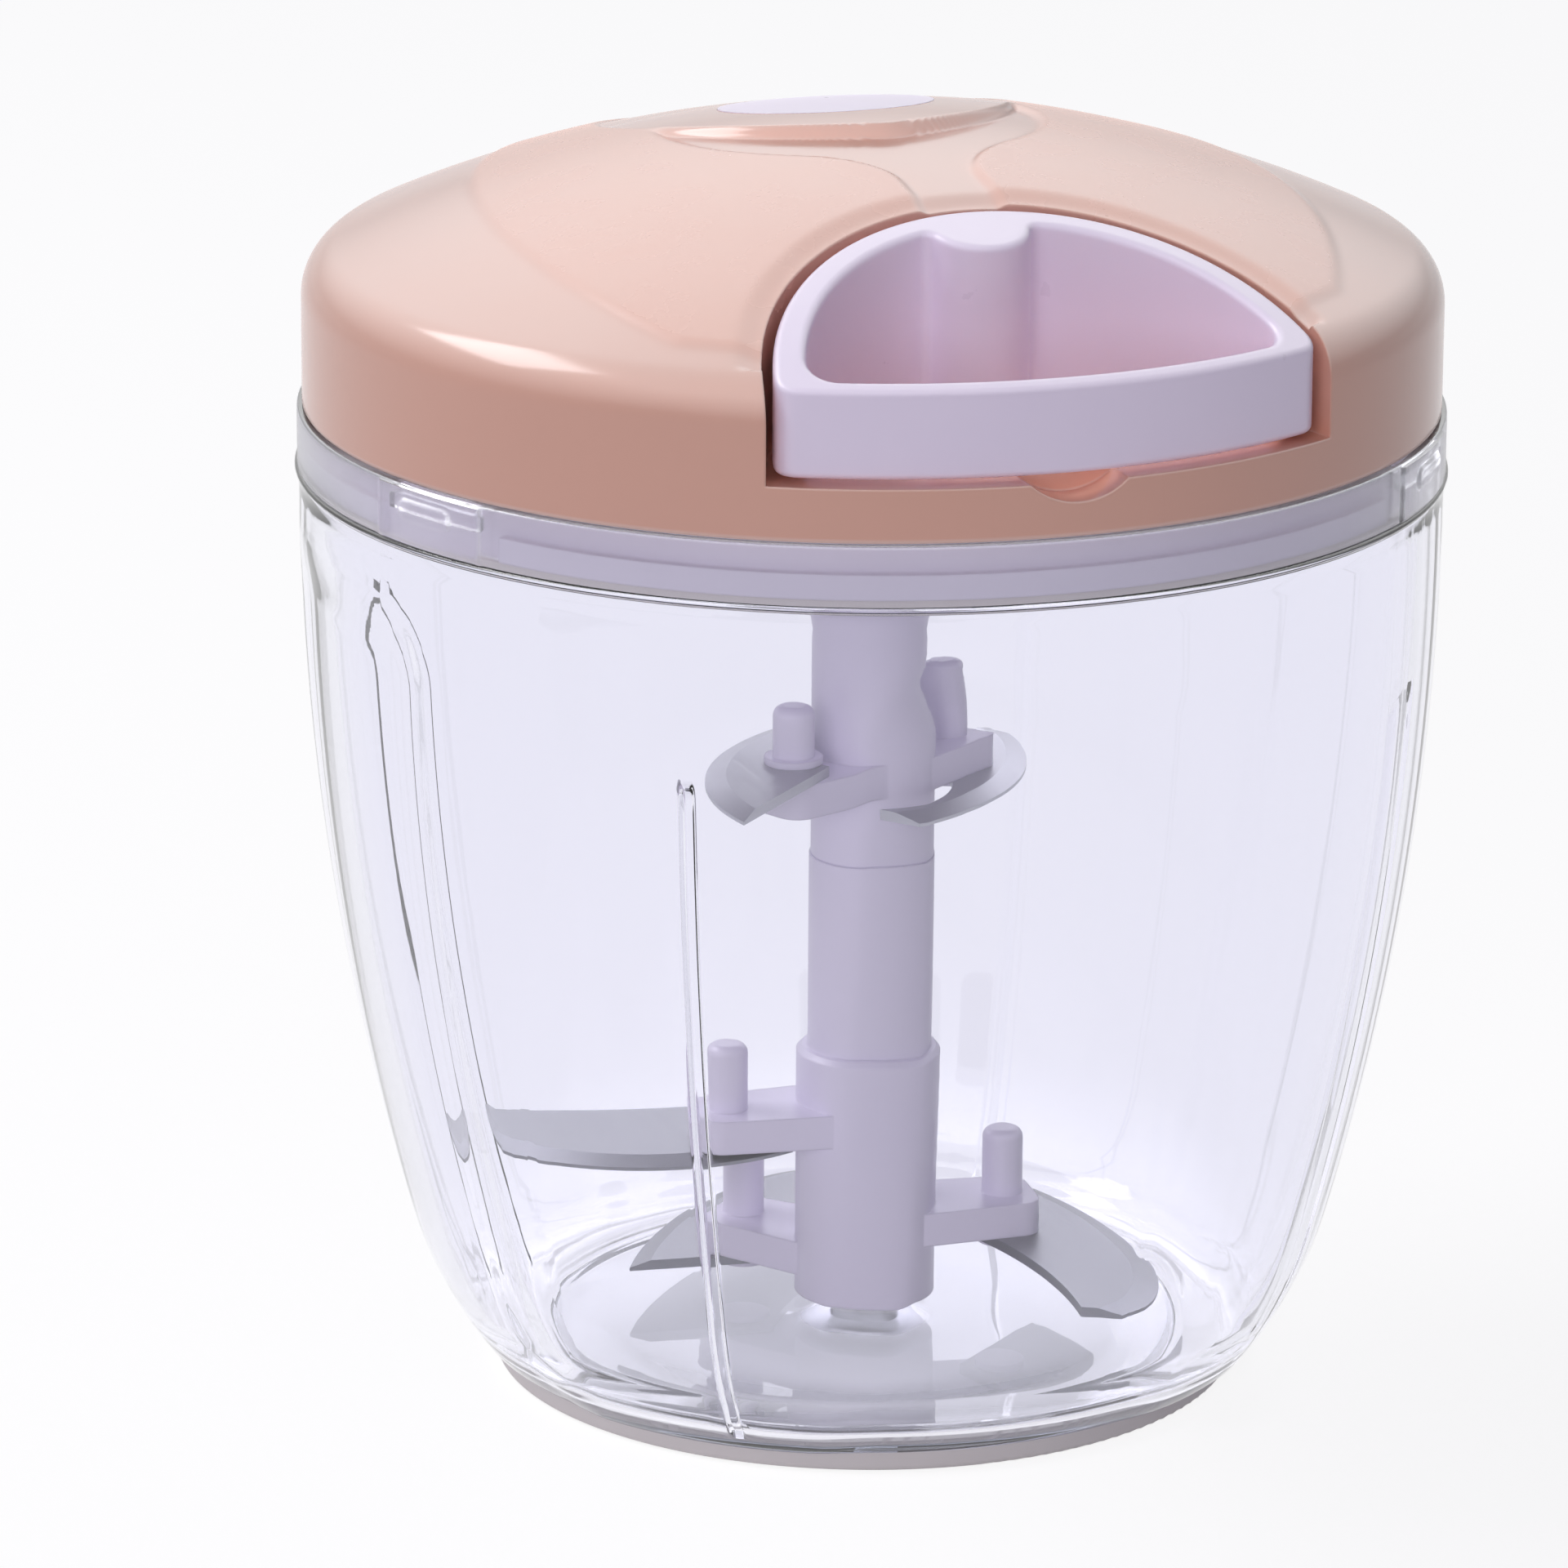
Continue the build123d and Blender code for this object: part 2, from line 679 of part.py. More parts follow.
with BuildPart() as lid_space:
    revolve(dome_space, axis=Axis.Z)
    extrude(pocket_block, amount=far, mode=Mode.SUBTRACT)
    add(scoop_bulk(scoop_wall), mode=Mode.SUBTRACT)
    add(disc(arbor_flange_radius, arbor_seat, far), mode=Mode.SUBTRACT)
    for place in screw_places:
        add(disc(lid_boss_radius, base_top, far, place), mode=Mode.SUBTRACT)

with BuildPart() as plateau_bulk:
    with Locations((0, -plateau_forward, 0)):
        add(revolve(plateau_section, axis=Axis.Z, mode=Mode.PRIVATE))

with BuildPart() as disc_seat_bulk:
    with Locations((0, -plateau_forward, 0)):
        add(revolve(disc_seat_section, axis=Axis.Z, mode=Mode.PRIVATE))

with BuildPart() as petal_pads:
    for petal in petals:
        extrude(petal, amount=far)
    revolve(petal_bulk, axis=Axis.Z, mode=Mode.INTERSECT)

with BuildPart() as plateau_pad:
    extrude(plateau_outline.sketch, amount=far)
    add(plateau_bulk.part, mode=Mode.INTERSECT)

with BuildPart() as top_disc:
    add(disc(disc_radius, cover_bottom, far, (0, disc_back)))
    add(plateau_bulk.part, mode=Mode.INTERSECT)
    add(disc_seat_bulk.part, mode=Mode.SUBTRACT)
top_disc.part.label = "top_disc"
export_step(top_disc.part, "parts/top_disc.step")

with BuildPart() as disc_seat:
    add(disc(disc_radius + fixed_gap, cover_bottom, far, (0, disc_back)))
    add(disc_seat_bulk.part, mode=Mode.SUBTRACT)

with BuildPart() as lid_cover:
    revolve(dome_bulk, axis=Axis.Z)
    add(petal_pads.part)
    add(plateau_pad.part)
    add(disc_seat.part, mode=Mode.SUBTRACT)
    add(lid_space.part, mode=Mode.SUBTRACT)
    extrude(pocket_outline, amount=far, mode=Mode.SUBTRACT)
    with BuildSketch(Plane.XY.offset(pocket_floor)):
        with Locations((0, -sqrt(lid_radius**2 - rebate_half_width**2) - rebate_depth)):
            Rectangle(2 * rebate_half_width, far, align=(Align.CENTER, Align.MAX))
    extrude(amount=far, mode=Mode.SUBTRACT)
    add(scoop_bulk(0), mode=Mode.SUBTRACT)
    with BuildSketch(cord_line):
        Circle(eyelet_bore + eyelet_wall + fixed_gap)
    extrude(amount=-pocket_back + pocket_gap, mode=Mode.SUBTRACT)
    add(disc(arbor_screw_radius + fixed_gap, arbor_seat, arbor_screw_bite), mode=Mode.SUBTRACT)
    for place in screw_places:
        add(disc(lid_screw_radius + fixed_gap, base_top, lid_screw_bite, place), mode=Mode.SUBTRACT)
lid_cover.part.label = "lid_cover"
export_step(lid_cover.part, "parts/lid_cover.step")


# Handle

def handle_outline(inset, front_inset, corner):
    """Outline of the handle from above, moved inwards at its round back and at its front."""
    with BuildSketch(Plane.XY.offset(handle_bottom)) as outline:
        add(back_circle(handle_bottom, -inset))
        Circle(handle_front_radius - front_inset, mode=Mode.INTERSECT)
        fillet(outline.vertices(), corner)
    return outline.sketch


boss_centre = handle_back - handle_boss_forward
knot_centre = boss_centre - knot_forward
handle_rim_outline = handle_outline(0, 0, handle_corner)
handle_top_bulk = dome_section(handle_below_dome, cover_bottom, shoulder=handle_shoulder)

with BuildSketch(Plane.XY.offset(handle_bottom)) as grip_outline:
    add(handle_outline(handle_rim, handle_front_wall, handle_inner_corner))
    with Locations((0, boss_centre)):
        Circle(handle_boss_radius, mode=Mode.SUBTRACT)
    fillet(grip_outline.vertices().group_by(SortBy.DISTANCE)[0], boss_corner)

with BuildPart() as pull_handle:
    extrude(handle_rim_outline, amount=far)
    extrude(grip_outline.sketch, amount=far, mode=Mode.SUBTRACT)
    revolve(handle_top_bulk, axis=Axis.Z, mode=Mode.INTERSECT)
    upright = pull_handle.edges().filter_by(Axis.Z)
    fillet([edge for edge in pull_handle.edges() if edge not in upright], handle_edge_round)
    add(
        disc(
            knot_radius + knot_gap,
            handle_bottom,
            cord_height - handle_bottom + knot_radius + knot_gap,
            (0, knot_centre),
        ),
        mode=Mode.SUBTRACT,
    )
    with BuildSketch(cord_line):
        Circle(cord_radius + cord_hole_gap)
    extrude(amount=-knot_centre, mode=Mode.SUBTRACT)
pull_handle.part.label = "pull_handle"
export_step(pull_handle.part, "parts/pull_handle.step")


# Cord

def spiral_arcs(inner_radius, pitch, half_turns):
    """Half-turn arcs of a flat spiral about the origin: centre on X, radius and start angle of each."""
    shift = pitch / 4
    arcs = []
    for step in range(half_turns):
        side = step % 2
        arcs.append((side * pitch / 2 - shift, inner_radius + shift + step * pitch / 2, 180 * side))
    return arcs


def least_gap(arcs, thickness, per_half_turn=36):
    """Least free gap between points that lie more than half a turn apart along a spiral."""
    points = []
    for step, (centre, radius, start) in enumerate(arcs):
        for part in range(per_half_turn):
            turn = radians(start + 180 * part / per_half_turn)
            points.append((step + part / per_half_turn, centre + radius * cos(turn), radius * sin(turn)))
    gaps = []
    for turn, x, y in points:
        gaps += [hypot(x - ox, y - oy) for other, ox, oy in points if other > turn + 1]
    return min(gaps) - thickness


winding_arcs = spiral_arcs(drum_radius + winding_start_gap + cord_radius, winding_pitch, winding_half_turns)
winding_start = winding_arcs[0][0] + winding_arcs[0][1]
winding_end = winding_arcs[-1][1] - winding_arcs[-1][0]
leave_angle = -90 - degrees(acos(winding_end / cord_bend_distance))
winding_plane = Plane(
    origin=(0, 0, cord_height),
    x_dir=(-cos(radians(leave_angle)), -sin(radians(leave_angle)), 0),
    z_dir=(0, 0, 1),
)

with BuildPart() as cord_winding:
    with BuildLine(winding_plane) as winding_path:
        Line((winding_start, -cord_diameter), (winding_start, 0))
        for centre, radius, start in winding_arcs:
            CenterArc((centre, 0), radius, start, 180)
        Line((-winding_end, 0), (-winding_end, -cord_diameter))
    with BuildSketch(Plane(origin=winding_path.line @ 0, z_dir=winding_path.line % 0)):
        Circle(cord_radius)
    sweep()
cord_winding.part.label = "cord_winding"
export_step(cord_winding.part, "parts/cord_winding.step")

lead_start = winding_path.line @ 1
lead_turn = Vector(0, -cord_bend_distance, cord_height)
lead_end = Vector(0, knot_centre + knot_radius, cord_height)

with BuildPart() as cord_lead:
    with BuildLine() as lead_path:
        FilletPolyline(lead_start, lead_turn, lead_end, radius=cord_bend_radius)
    with BuildSketch(Plane(origin=lead_path.line @ 0, z_dir=lead_path.line % 0)):
        Circle(cord_radius)
    sweep()
cord_lead.part.label = "cord_lead"
export_step(cord_lead.part, "parts/cord_lead.step")

with BuildPart() as cord_knot:
    with Locations((0, knot_centre, cord_height)):
        Sphere(knot_radius)
cord_knot.part.label = "cord_knot"
export_step(cord_knot.part, "parts/cord_knot.step")

with BuildPart() as cord_eyelet:
    with BuildSketch(cord_line.offset(-eyelet_seat)):
        Circle(eyelet_bore + eyelet_wall)
    extrude(amount=pocket_wall)
    with BuildSketch(cord_line.offset(-eyelet_seat)):
        Circle(eyelet_bore + eyelet_wall + eyelet_flange)
    extrude(amount=-eyelet_flange)
    with BuildSketch(cord_line):
        Circle(eyelet_bore)
    extrude(amount=far, mode=Mode.SUBTRACT)
cord_eyelet.part.label = "cord_eyelet"
export_step(cord_eyelet.part, "parts/cord_eyelet.step")

print("least gap in the cord winding", round(least_gap(winding_arcs, cord_diameter), 3))
print("cord on the reel", round(sum(edge.length for edge in winding_path.edges()), 1))
print("cord to the handle", round(sum(edge.length for edge in lead_path.edges()), 1))


# Spring, its post and its cap

spring_arcs = spiral_arcs(spring_inner_radius, spring_pitch, spring_half_turns)
spring_start = spring_arcs[0][0] + spring_arcs[0][1]
spring_end = spring_arcs[-1][0] + spring_arcs[-1][1]
spring_bottom = reel_floor_top + spring_floor_gap
inner_tab_length = spring_start + spring_strip / 2 - arbor_radius + spring_slot
outer_tab_length = drum_bore + spring_slot - spring_end + spring_strip / 2
slot_width = spring_strip + 2 * loose_gap
slot_depth = spring_slot + loose_gap

with BuildPart() as spiral_spring:
    with BuildSketch(Plane.XY.offset(spring_bottom)):
        with BuildLine():
            for offset in (-spring_strip / 2, spring_strip / 2):
                for centre, radius, start in spring_arcs:
                    CenterArc((centre, 0), radius + offset, start, 180)
            for end in (spring_start, spring_end):
                Line((end - spring_strip / 2, 0), (end + spring_strip / 2, 0))
        make_face()
        with Locations((arbor_radius - spring_slot, 0)):
            Rectangle(inner_tab_length, spring_strip, align=(Align.MIN, Align.MAX))
        with Locations((spring_end - spring_strip / 2, 0)):
            Rectangle(outer_tab_length, spring_strip, align=(Align.MIN, Align.MIN))
    extrude(amount=spring_width)
spiral_spring.part.label = "spiral_spring"
export_step(spiral_spring.part, "parts/spiral_spring.step")

print("least gap in the spring", round(least_gap(spring_arcs, spring_strip), 3))

with BuildPart() as spring_arbor:
    add(disc(arbor_radius, arbor_bottom, arbor_seat - arbor_bottom))
    add(disc(arbor_flange_radius, arbor_seat - arbor_flange, arbor_flange))
    add(disc(arbor_screw_radius + fixed_gap, arbor_bottom, far), mode=Mode.SUBTRACT)
    add(
        disc(arbor_screw_head_radius + fixed_gap, arbor_bottom, arbor_screw_head + loose_gap),
        mode=Mode.SUBTRACT,
    )
    with BuildSketch(Plane.XY.offset(spring_bottom - loose_gap)):
        with Locations((arbor_radius - slot_depth, -spring_strip / 2)):
            Rectangle(far, slot_width, align=(Align.MIN, Align.CENTER))
    extrude(amount=spring_width + 2 * loose_gap, mode=Mode.SUBTRACT)
spring_arbor.part.label = "spring_arbor"
export_step(spring_arbor.part, "parts/spring_arbor.step")

arbor_screw_seat = arbor_bottom + arbor_screw_head + loose_gap
with BuildPart() as arbor_screw:
    add(disc(arbor_screw_head_radius, arbor_screw_seat - arbor_screw_head, arbor_screw_head))
    add(disc(arbor_screw_radius, arbor_screw_seat, arbor_seat + arbor_screw_bite - arbor_screw_seat))
arbor_screw.part.label = "arbor_screw"
export_step(arbor_screw.part, "parts/arbor_screw.step")

cap_top = reel_top - cap_below_rim
with BuildPart() as spring_cap:
    add(disc(drum_bore - fixed_gap, cap_top - cap_thickness, cap_thickness))
    add(disc(arbor_radius + arbor_gap, 0, far), mode=Mode.SUBTRACT)
spring_cap.part.label = "spring_cap"
export_step(spring_cap.part, "parts/spring_cap.step")


# Reel and drive

coupling_screw_places = PolarLocations(coupling_screw_circle, 3)

with BuildPart() as cord_reel:
    add(disc(drum_radius, coupling_top, reel_top - coupling_top))
    add(disc(reel_flange_radius, groove_bottom - reel_flange, reel_flange))
    add(disc(reel_flange_radius, groove_top, reel_flange))
    add(disc(drum_bore, reel_floor_top, far), mode=Mode.SUBTRACT)
    with BuildSketch(Plane.XY.offset(spring_bottom - loose_gap)):
        with Locations((0, spring_strip / 2)):
            Rectangle(drum_bore + slot_depth, slot_width, align=(Align.MIN, Align.CENTER))
    extrude(amount=spring_width + 2 * loose_gap, mode=Mode.SUBTRACT)
    with BuildSketch(Plane.XY.offset(coupling_top)):
        with coupling_screw_places:
            Circle(coupling_screw_radius + fixed_gap)
    extrude(amount=coupling_screw_bite, mode=Mode.SUBTRACT)
cord_reel.part.label = "cord_reel"
export_step(cord_reel.part, "parts/cord_reel.step")

with BuildPart() as drive_coupling:
    add(disc(coupling_disc_radius, coupling_bottom, coupling_disc))
    add(disc(bearing_radius, dog_top, coupling_bottom - dog_top))
    add(disc(dog_core_radius, dog_bottom, dog_length))
    fin_reach = socket_radius - loose_gap
    with BuildSketch(Plane.XY.offset(dog_bottom)):
        with PolarLocations(fin_reach / 2, 3, start_angle=-dog_lead_angle):
            Rectangle(fin_reach, dog_width)
    extrude(amount=dog_length)
    with BuildSketch(Plane.XY.offset(coupling_bottom)):
        with coupling_screw_places:
            Circle(coupling_screw_radius + fixed_gap)
    extrude(amount=coupling_disc, mode=Mode.SUBTRACT)
    with BuildSketch(Plane.XY.offset(coupling_bottom)):
        with coupling_screw_places:
            Circle(coupling_screw_head_radius + fixed_gap)
    extrude(amount=coupling_screw_head, mode=Mode.SUBTRACT)
drive_coupling.part.label = "drive_coupling"
export_step(drive_coupling.part, "parts/drive_coupling.step")

with BuildPart() as coupling_screws:
    with BuildSketch(Plane.XY.offset(coupling_bottom)):
        with coupling_screw_places:
            Circle(coupling_screw_head_radius)
    extrude(amount=coupling_screw_head)
    with BuildSketch(Plane.XY.offset(coupling_bottom)):
        with coupling_screw_places:
            Circle(coupling_screw_radius)
    extrude(amount=coupling_disc + coupling_screw_bite)
coupling_screws.part.label = "coupling_screws"
export_step(coupling_screws.part, "parts/coupling_screws.step")

with BuildPart() as thrust_washer:
    add(disc(bearing_radius + running_gap + bearing_wall, bearing_top, washer_thickness))
    add(disc(bearing_radius + fixed_gap, 0, far), mode=Mode.SUBTRACT)
thrust_washer.part.label = "thrust_washer"
export_step(thrust_washer.part, "parts/thrust_washer.step")
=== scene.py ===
"""Looks of the hand food chopper: clear fluted bowl, peach lid, white pull handle and blade column."""

from math import atan2, cos, degrees, hypot, radians, sin, sqrt

import bpy
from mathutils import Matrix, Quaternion, Vector


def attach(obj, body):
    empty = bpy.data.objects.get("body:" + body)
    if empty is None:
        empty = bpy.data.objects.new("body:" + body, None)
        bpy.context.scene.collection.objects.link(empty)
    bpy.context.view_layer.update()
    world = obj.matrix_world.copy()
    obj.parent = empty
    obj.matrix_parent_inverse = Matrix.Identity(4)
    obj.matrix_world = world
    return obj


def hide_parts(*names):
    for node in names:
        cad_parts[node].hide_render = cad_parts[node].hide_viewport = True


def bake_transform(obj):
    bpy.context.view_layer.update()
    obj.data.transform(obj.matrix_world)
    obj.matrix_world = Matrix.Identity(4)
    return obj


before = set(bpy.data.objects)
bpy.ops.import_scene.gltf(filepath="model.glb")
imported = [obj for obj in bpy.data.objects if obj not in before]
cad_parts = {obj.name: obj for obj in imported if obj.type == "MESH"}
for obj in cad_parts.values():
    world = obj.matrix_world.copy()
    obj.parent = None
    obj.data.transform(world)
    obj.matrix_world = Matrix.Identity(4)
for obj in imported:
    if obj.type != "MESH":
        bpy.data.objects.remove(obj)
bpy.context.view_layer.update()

# Lengths in this file are millimetres, and mm turns them into metres. Angles are degrees.
mm = 0.001

# Bowl
wall_top = (65.7, 107.5)
waist = (62.7, 60.0)
knee = (54.5, 20.0)
heel = (45.4, 2.4)
bowl_wall = 2.8
floor_top = 4.4
floor_bottom = 0.8
floor_corner = 5.0
floor_corner_lean = 0.7  # how far the floor's corner lies inside the wall
foot_seat_radius = 37.25
collar_top = 115.0
collar_radius = 65.9
collar_bore = 64.15
bead_radius = 66.2
bead_height = 0.8
collar_frost = 0.22  # roughness of the etched collar
underside_frost = 0.3  # roughness of the bowl's underside
underside_cloud = 0.03  # share of the light that the underside scatters
edge_round = 0.35
small_chamfer = 0.2
pin_boss_radius = 5.2
pin_boss_top = 5.6
pin_boss_rows = 8
pin_boss_spread = 1.7  # radius at its foot, as a share of its radius
floor_rings = (36.0, 38.5)
floor_ring_rise = 0.12
floor_ring_half_foot = 0.5
floor_ring_half_top = 0.2
flute_half_width = 18.5
flute_depth = 0.85
flute_top = 98.0
flute_corner = 7.0
flute_soft = 4.2  # half the width of a flute's rounded step
flute_least_out = 29.8
flute_foot_height = 9.5  # below it the flutes fade out towards the axis
flute_foot_inner = 38.5
flute_foot_outer = 44.0
rib_angle = 51.3
rib_half_width = 0.7
rib_soft = 0.3
rib_height = 1.1
rib_top = 87.3
rib_taper = 3.0
rib_zone_top = 104.0
rib_zone_depth = 0.9

# Locks on the collar: pads and bumps outside, hooks inside
lock_angles = (-158.6, -38.6, 81.4)
pad_half_angle = 7.6
pad_proud = 0.3
bump_middle = 112.4
bump_half_length = 4.5
bump_half_height = 1.2
bump_proud = 0.3
lock_soft = 0.25
hook_half_angle = 6.5
hook_bottom = 111.8
hook_top = 113.3
hook_depth = 1.05
hook_edge = 0.1

# Lid cover
lid_radius = 65.3
lid_bottom = 115.2
lid_crown = 146.8
lid_wall = 2.0
dome_radius = 147.0
shoulder = 6.3
lid_edge = 0.3
skirt_rows = (1.2, 2.4, 4.2, 6.0, 8.5)
shoulder_rows = 14
dome_ring_step = 0.55
lid_columns = 540
hollow_ring_step = 6.0
hollow_columns = 120
dome_slack = 0.2  # how far under the dome a place still counts as on it
petal_crown_rise = 0.8
petal_fall = 1.2  # how much less the petals rise at the lid's edge
petal_least_rise = 0.35
petal_arc_radius = 82.6
petal_arc_offset = 35.9
petal_arc_back = -8.7
petal_rim = 58.5
dome_reach = 61.5
petal_corner = 8.0
petal_soft = 0.8
lane_half_width = 4.7
lane_round_radius = 22.2
lane_round_back = 8.5
plateau_rise = 1.5
plateau_most = 1.9
plateau_forward = 7.0
plateau_arc_radius = 30.3
plateau_arc_offset = 6.4
plateau_back = 23.8
plateau_blunt = 1.5
plateau_soft = 0.55
disc_radius = 12.52
disc_back = 16.0
disc_seat_depth = 1.45
disc_cut_bottom = 135.0
disc_cut_top = 155.0
pocket_centre = -61.8
pocket_radius = 33.5
pocket_floor = 121.3
pocket_wall = 1.6
lip_width = 3.2
lip_drop = 0.8
rebate_half_width = 34.2
rebate_front = -56.93
rebate_depth = 30.0
rebate_height = 40.0
scoop_radius = 8.45
scoop_axis_height = 127.55
scoop_back = -60.3
scoop_wall = 1.0
eyelet_hole_radius = 2.25
eyelet_cut_back = -25.3
eyelet_cut_front = -29.3
cut_top = 160.0
cut_front = -80.0
cut_below = 2.0
mould_line_place = 9.9
mould_line_half_width = 0.1
mould_line_front = -60.0
foot_highlight_bottom = 115.4  # bottom of a painted highlight, a paler band at the skirt's foot
foot_highlight_top = 115.8
foot_highlight_share = 0.35
matt_roughness = 0.11  # what the petals' grain adds

# Cord
cord_radius = 1.0
cord_height = 127.0
winding_radius = 16.3
winding_pitch = 2.5
winding_half_turns = 5
winding_points = 12  # to a half turn
bend_distance = 24.8
knot_place = -33.9
knot_size = 1.55
knot_points = 36
knot_flatness = 0.8
eyelet_length = 3.0

# Camera, fitted to the photograph
camera_place = (-362.6, -975.0, 379.8)
camera_target = (-9.18, 3.41, 68.6)
camera_roll = 0.006
camera_lens = 214.6

# Studio
plastic_ior = 1.62
ceiling_glow = 4.3  # brightness of the ceiling in mirrored rays
ceiling_start = 0.1  # heights of a ray's direction
ceiling_end = 0.75
fill_light = 0.22
floor_size = 8000.0
floor_gap = 0.2
floor_glow = 1.2
floor_glow_share = 0.7

weld_distance = 0.002
bead_top = wall_top[1] + bead_height
underside_top = floor_bottom + edge_round / 4


# Small tools

def smooth_step(low, high, value):
    """0 below low, 1 above high, and an even S between them."""
    share = min(max((value - low) / (high - low), 0.0), 1.0)
    return share * share * (3 - 2 * share)


def arc(centre, radius, start, end, count):
    """Points on an arc in the XZ plane, both ends included, angles from +X."""
    turns = [radians(start + (end - start) * step / count) for step in range(count + 1)]
    return [(centre[0] + radius * cos(turn), centre[1] + radius * sin(turn)) for turn in turns]


def circle_through(first, second, third):
    """Centre and radius of the circle through three points."""
    (ax, ay), (bx, by), (cx, cy) = first, second, third
    twice = 2 * (ax * (by - cy) + bx * (cy - ay) + cx * (ay - by))
    a, b, c = ax**2 + ay**2, bx**2 + by**2, cx**2 + cy**2
    x = (a * (by - cy) + b * (cy - ay) + c * (ay - by)) / twice
    y = (a * (cx - bx) + b * (ax - cx) + c * (bx - ax)) / twice
    return (x, y), hypot(ax - x, ay - y)


def draw_profile(name, points):
    """Chain of edges in the XZ plane, drawn by extruding one corner from point to point."""
    bpy.ops.object.select_all(action="DESELECT")
    x, z = points[0]
    bpy.ops.mesh.primitive_plane_add(size=mm)
    piece = bpy.context.object
    piece.name = name
    bpy.ops.object.mode_set(mode="EDIT")
    bpy.ops.mesh.select_all(action="SELECT")
    bpy.ops.mesh.merge(type="CENTER")
    bpy.ops.transform.translate(value=(x * mm, 0, z * mm))
    for here, there in zip(points, points[1:]):
        step = ((there[0] - here[0]) * mm, 0, (there[1] - here[1]) * mm)
        bpy.ops.mesh.extrude_region_move(TRANSFORM_OT_translate={"value": step})
    return piece


def spin_profile(piece, spans):
    """Turns a profile once round Z, in spans of (degrees, steps), and closes it."""
    bpy.ops.mesh.select_all(action="SELECT")
    for angle, steps in spans:
        bpy.ops.mesh.spin(steps=steps, angle=radians(angle), center=(0, 0, 0), axis=(0, 0, -1))
    bpy.ops.mesh.select_all(action="SELECT")
    bpy.ops.mesh.remove_doubles(threshold=weld_distance * mm)
    bpy.ops.mesh.normals_make_consistent(inside=False)
    bpy.ops.object.mode_set(mode="OBJECT")


def smooth(piece, angle):
    """Smooth shading, with edges sharper than an angle left as edges."""
    bpy.ops.object.select_all(action="DESELECT")
    piece.select_set(True)
    bpy.context.view_layer.objects.active = piece
    bpy.ops.object.shade_smooth_by_angle(angle=radians(angle))


def weigh(piece, name, weight_at):
    """Vertex group whose weights come from each vertex's place in millimetres."""
    group = piece.vertex_groups.new(name=name)
    for vertex in piece.data.vertices:
        weight = weight_at(*(vertex.co / mm))
        if weight > 0:
            group.add([vertex.index], weight, "REPLACE")


def press(piece, group, direction, amount):
    """Moves a weighted area by an amount in millimetres."""
    modifier = piece.modifiers.new(group, "DISPLACE")
    modifier.vertex_group = group
    modifier.direction = direction
    modifier.mid_level = 0
    modifier.strength = amount * mm
    bpy.context.view_layer.objects.active = piece
    bpy.ops.object.modifier_apply(modifier=modifier.name)


def cut(piece, tool):
    """Takes the tool's volume out of a piece and removes the tool."""
    modifier = piece.modifiers.new(tool.name, "BOOLEAN")
    modifier.operation = "DIFFERENCE"
    modifier.solver = "EXACT"
    modifier.object = tool
    bpy.context.view_layer.objects.active = piece
    bpy.ops.object.modifier_apply(modifier=modifier.name)
    bpy.data.objects.remove(tool)


def upright_cylinder(radius, bottom, top, at=(0, 0), vertices=256):
    """Upright cylinder between two heights, to cut with."""
    bpy.ops.object.select_all(action="DESELECT")
    bpy.ops.mesh.primitive_cylinder_add(
        vertices=vertices,
        radius=radius * mm,
        depth=(top - bottom) * mm,
        location=(at[0] * mm, at[1] * mm, (top + bottom) / 2 * mm),
    )
    return bpy.context.object


def level_cylinder(radius, height, back, front, vertices=128):
    """Level cylinder along Y between two places, to cut with."""
    bpy.ops.object.select_all(action="DESELECT")
    bpy.ops.mesh.primitive_cylinder_add(
        vertices=vertices,
        radius=radius * mm,
        depth=(back - front) * mm,
        location=(0, (back + front) / 2 * mm, height * mm),
        rotation=(radians(90), 0, 0),
    )
    return bpy.context.object


# Materials

def place(tree, kind, inputs=None, **settings):
    """New node with its settings, its input values and its links."""
    node = tree.nodes.new(kind)
    for name, value in settings.items():
        setattr(node, name, value)
    for name, value in (inputs or {}).items():
        if isinstance(value, bpy.types.NodeSocket):
            tree.links.new(value, node.inputs[name])
        else:
            node.inputs[name].default_value = value
    return node


def new_material(name):
    """Empty material with one shader on its output."""
    material = bpy.data.materials.new(name)
    material.use_nodes = True
    tree = material.node_tree
    tree.nodes.clear()
    shader = tree.nodes.new("ShaderNodeBsdfPrincipled")
    output = tree.nodes.new("ShaderNodeOutputMaterial")
    tree.links.new(shader.outputs["BSDF"], output.inputs["Surface"])
    return material, tree, shader


def spread(tree, value, low, high):
    """Maps a texture's 0 to 1 to a range."""
    node = place(tree, "ShaderNodeMapRange", {"Value": value, "To Min": low, "To Max": high})
    return node.outputs["Result"]


def work(tree, operation, *values):
    """Result of one sum on up to three values."""
    return place(tree, "ShaderNodeMath", dict(enumerate(values)), operation=operation).outputs["Value"]


def tinted(tree, factor, colour, change):
    """Colour that goes a little darker and lighter with a texture."""
    tint = place(tree, "ShaderNodeMix", data_type="RGBA")
    tree.links.new(factor, tint.inputs["Factor"])
    tint.inputs["A"].default_value = (*[(1 - change) * channel for channel in colour], 1)
    tint.inputs["B"].default_value = (*[min(1.0, (1 + change) * channel) for channel in colour], 1)
    return tint.outputs["Result"]


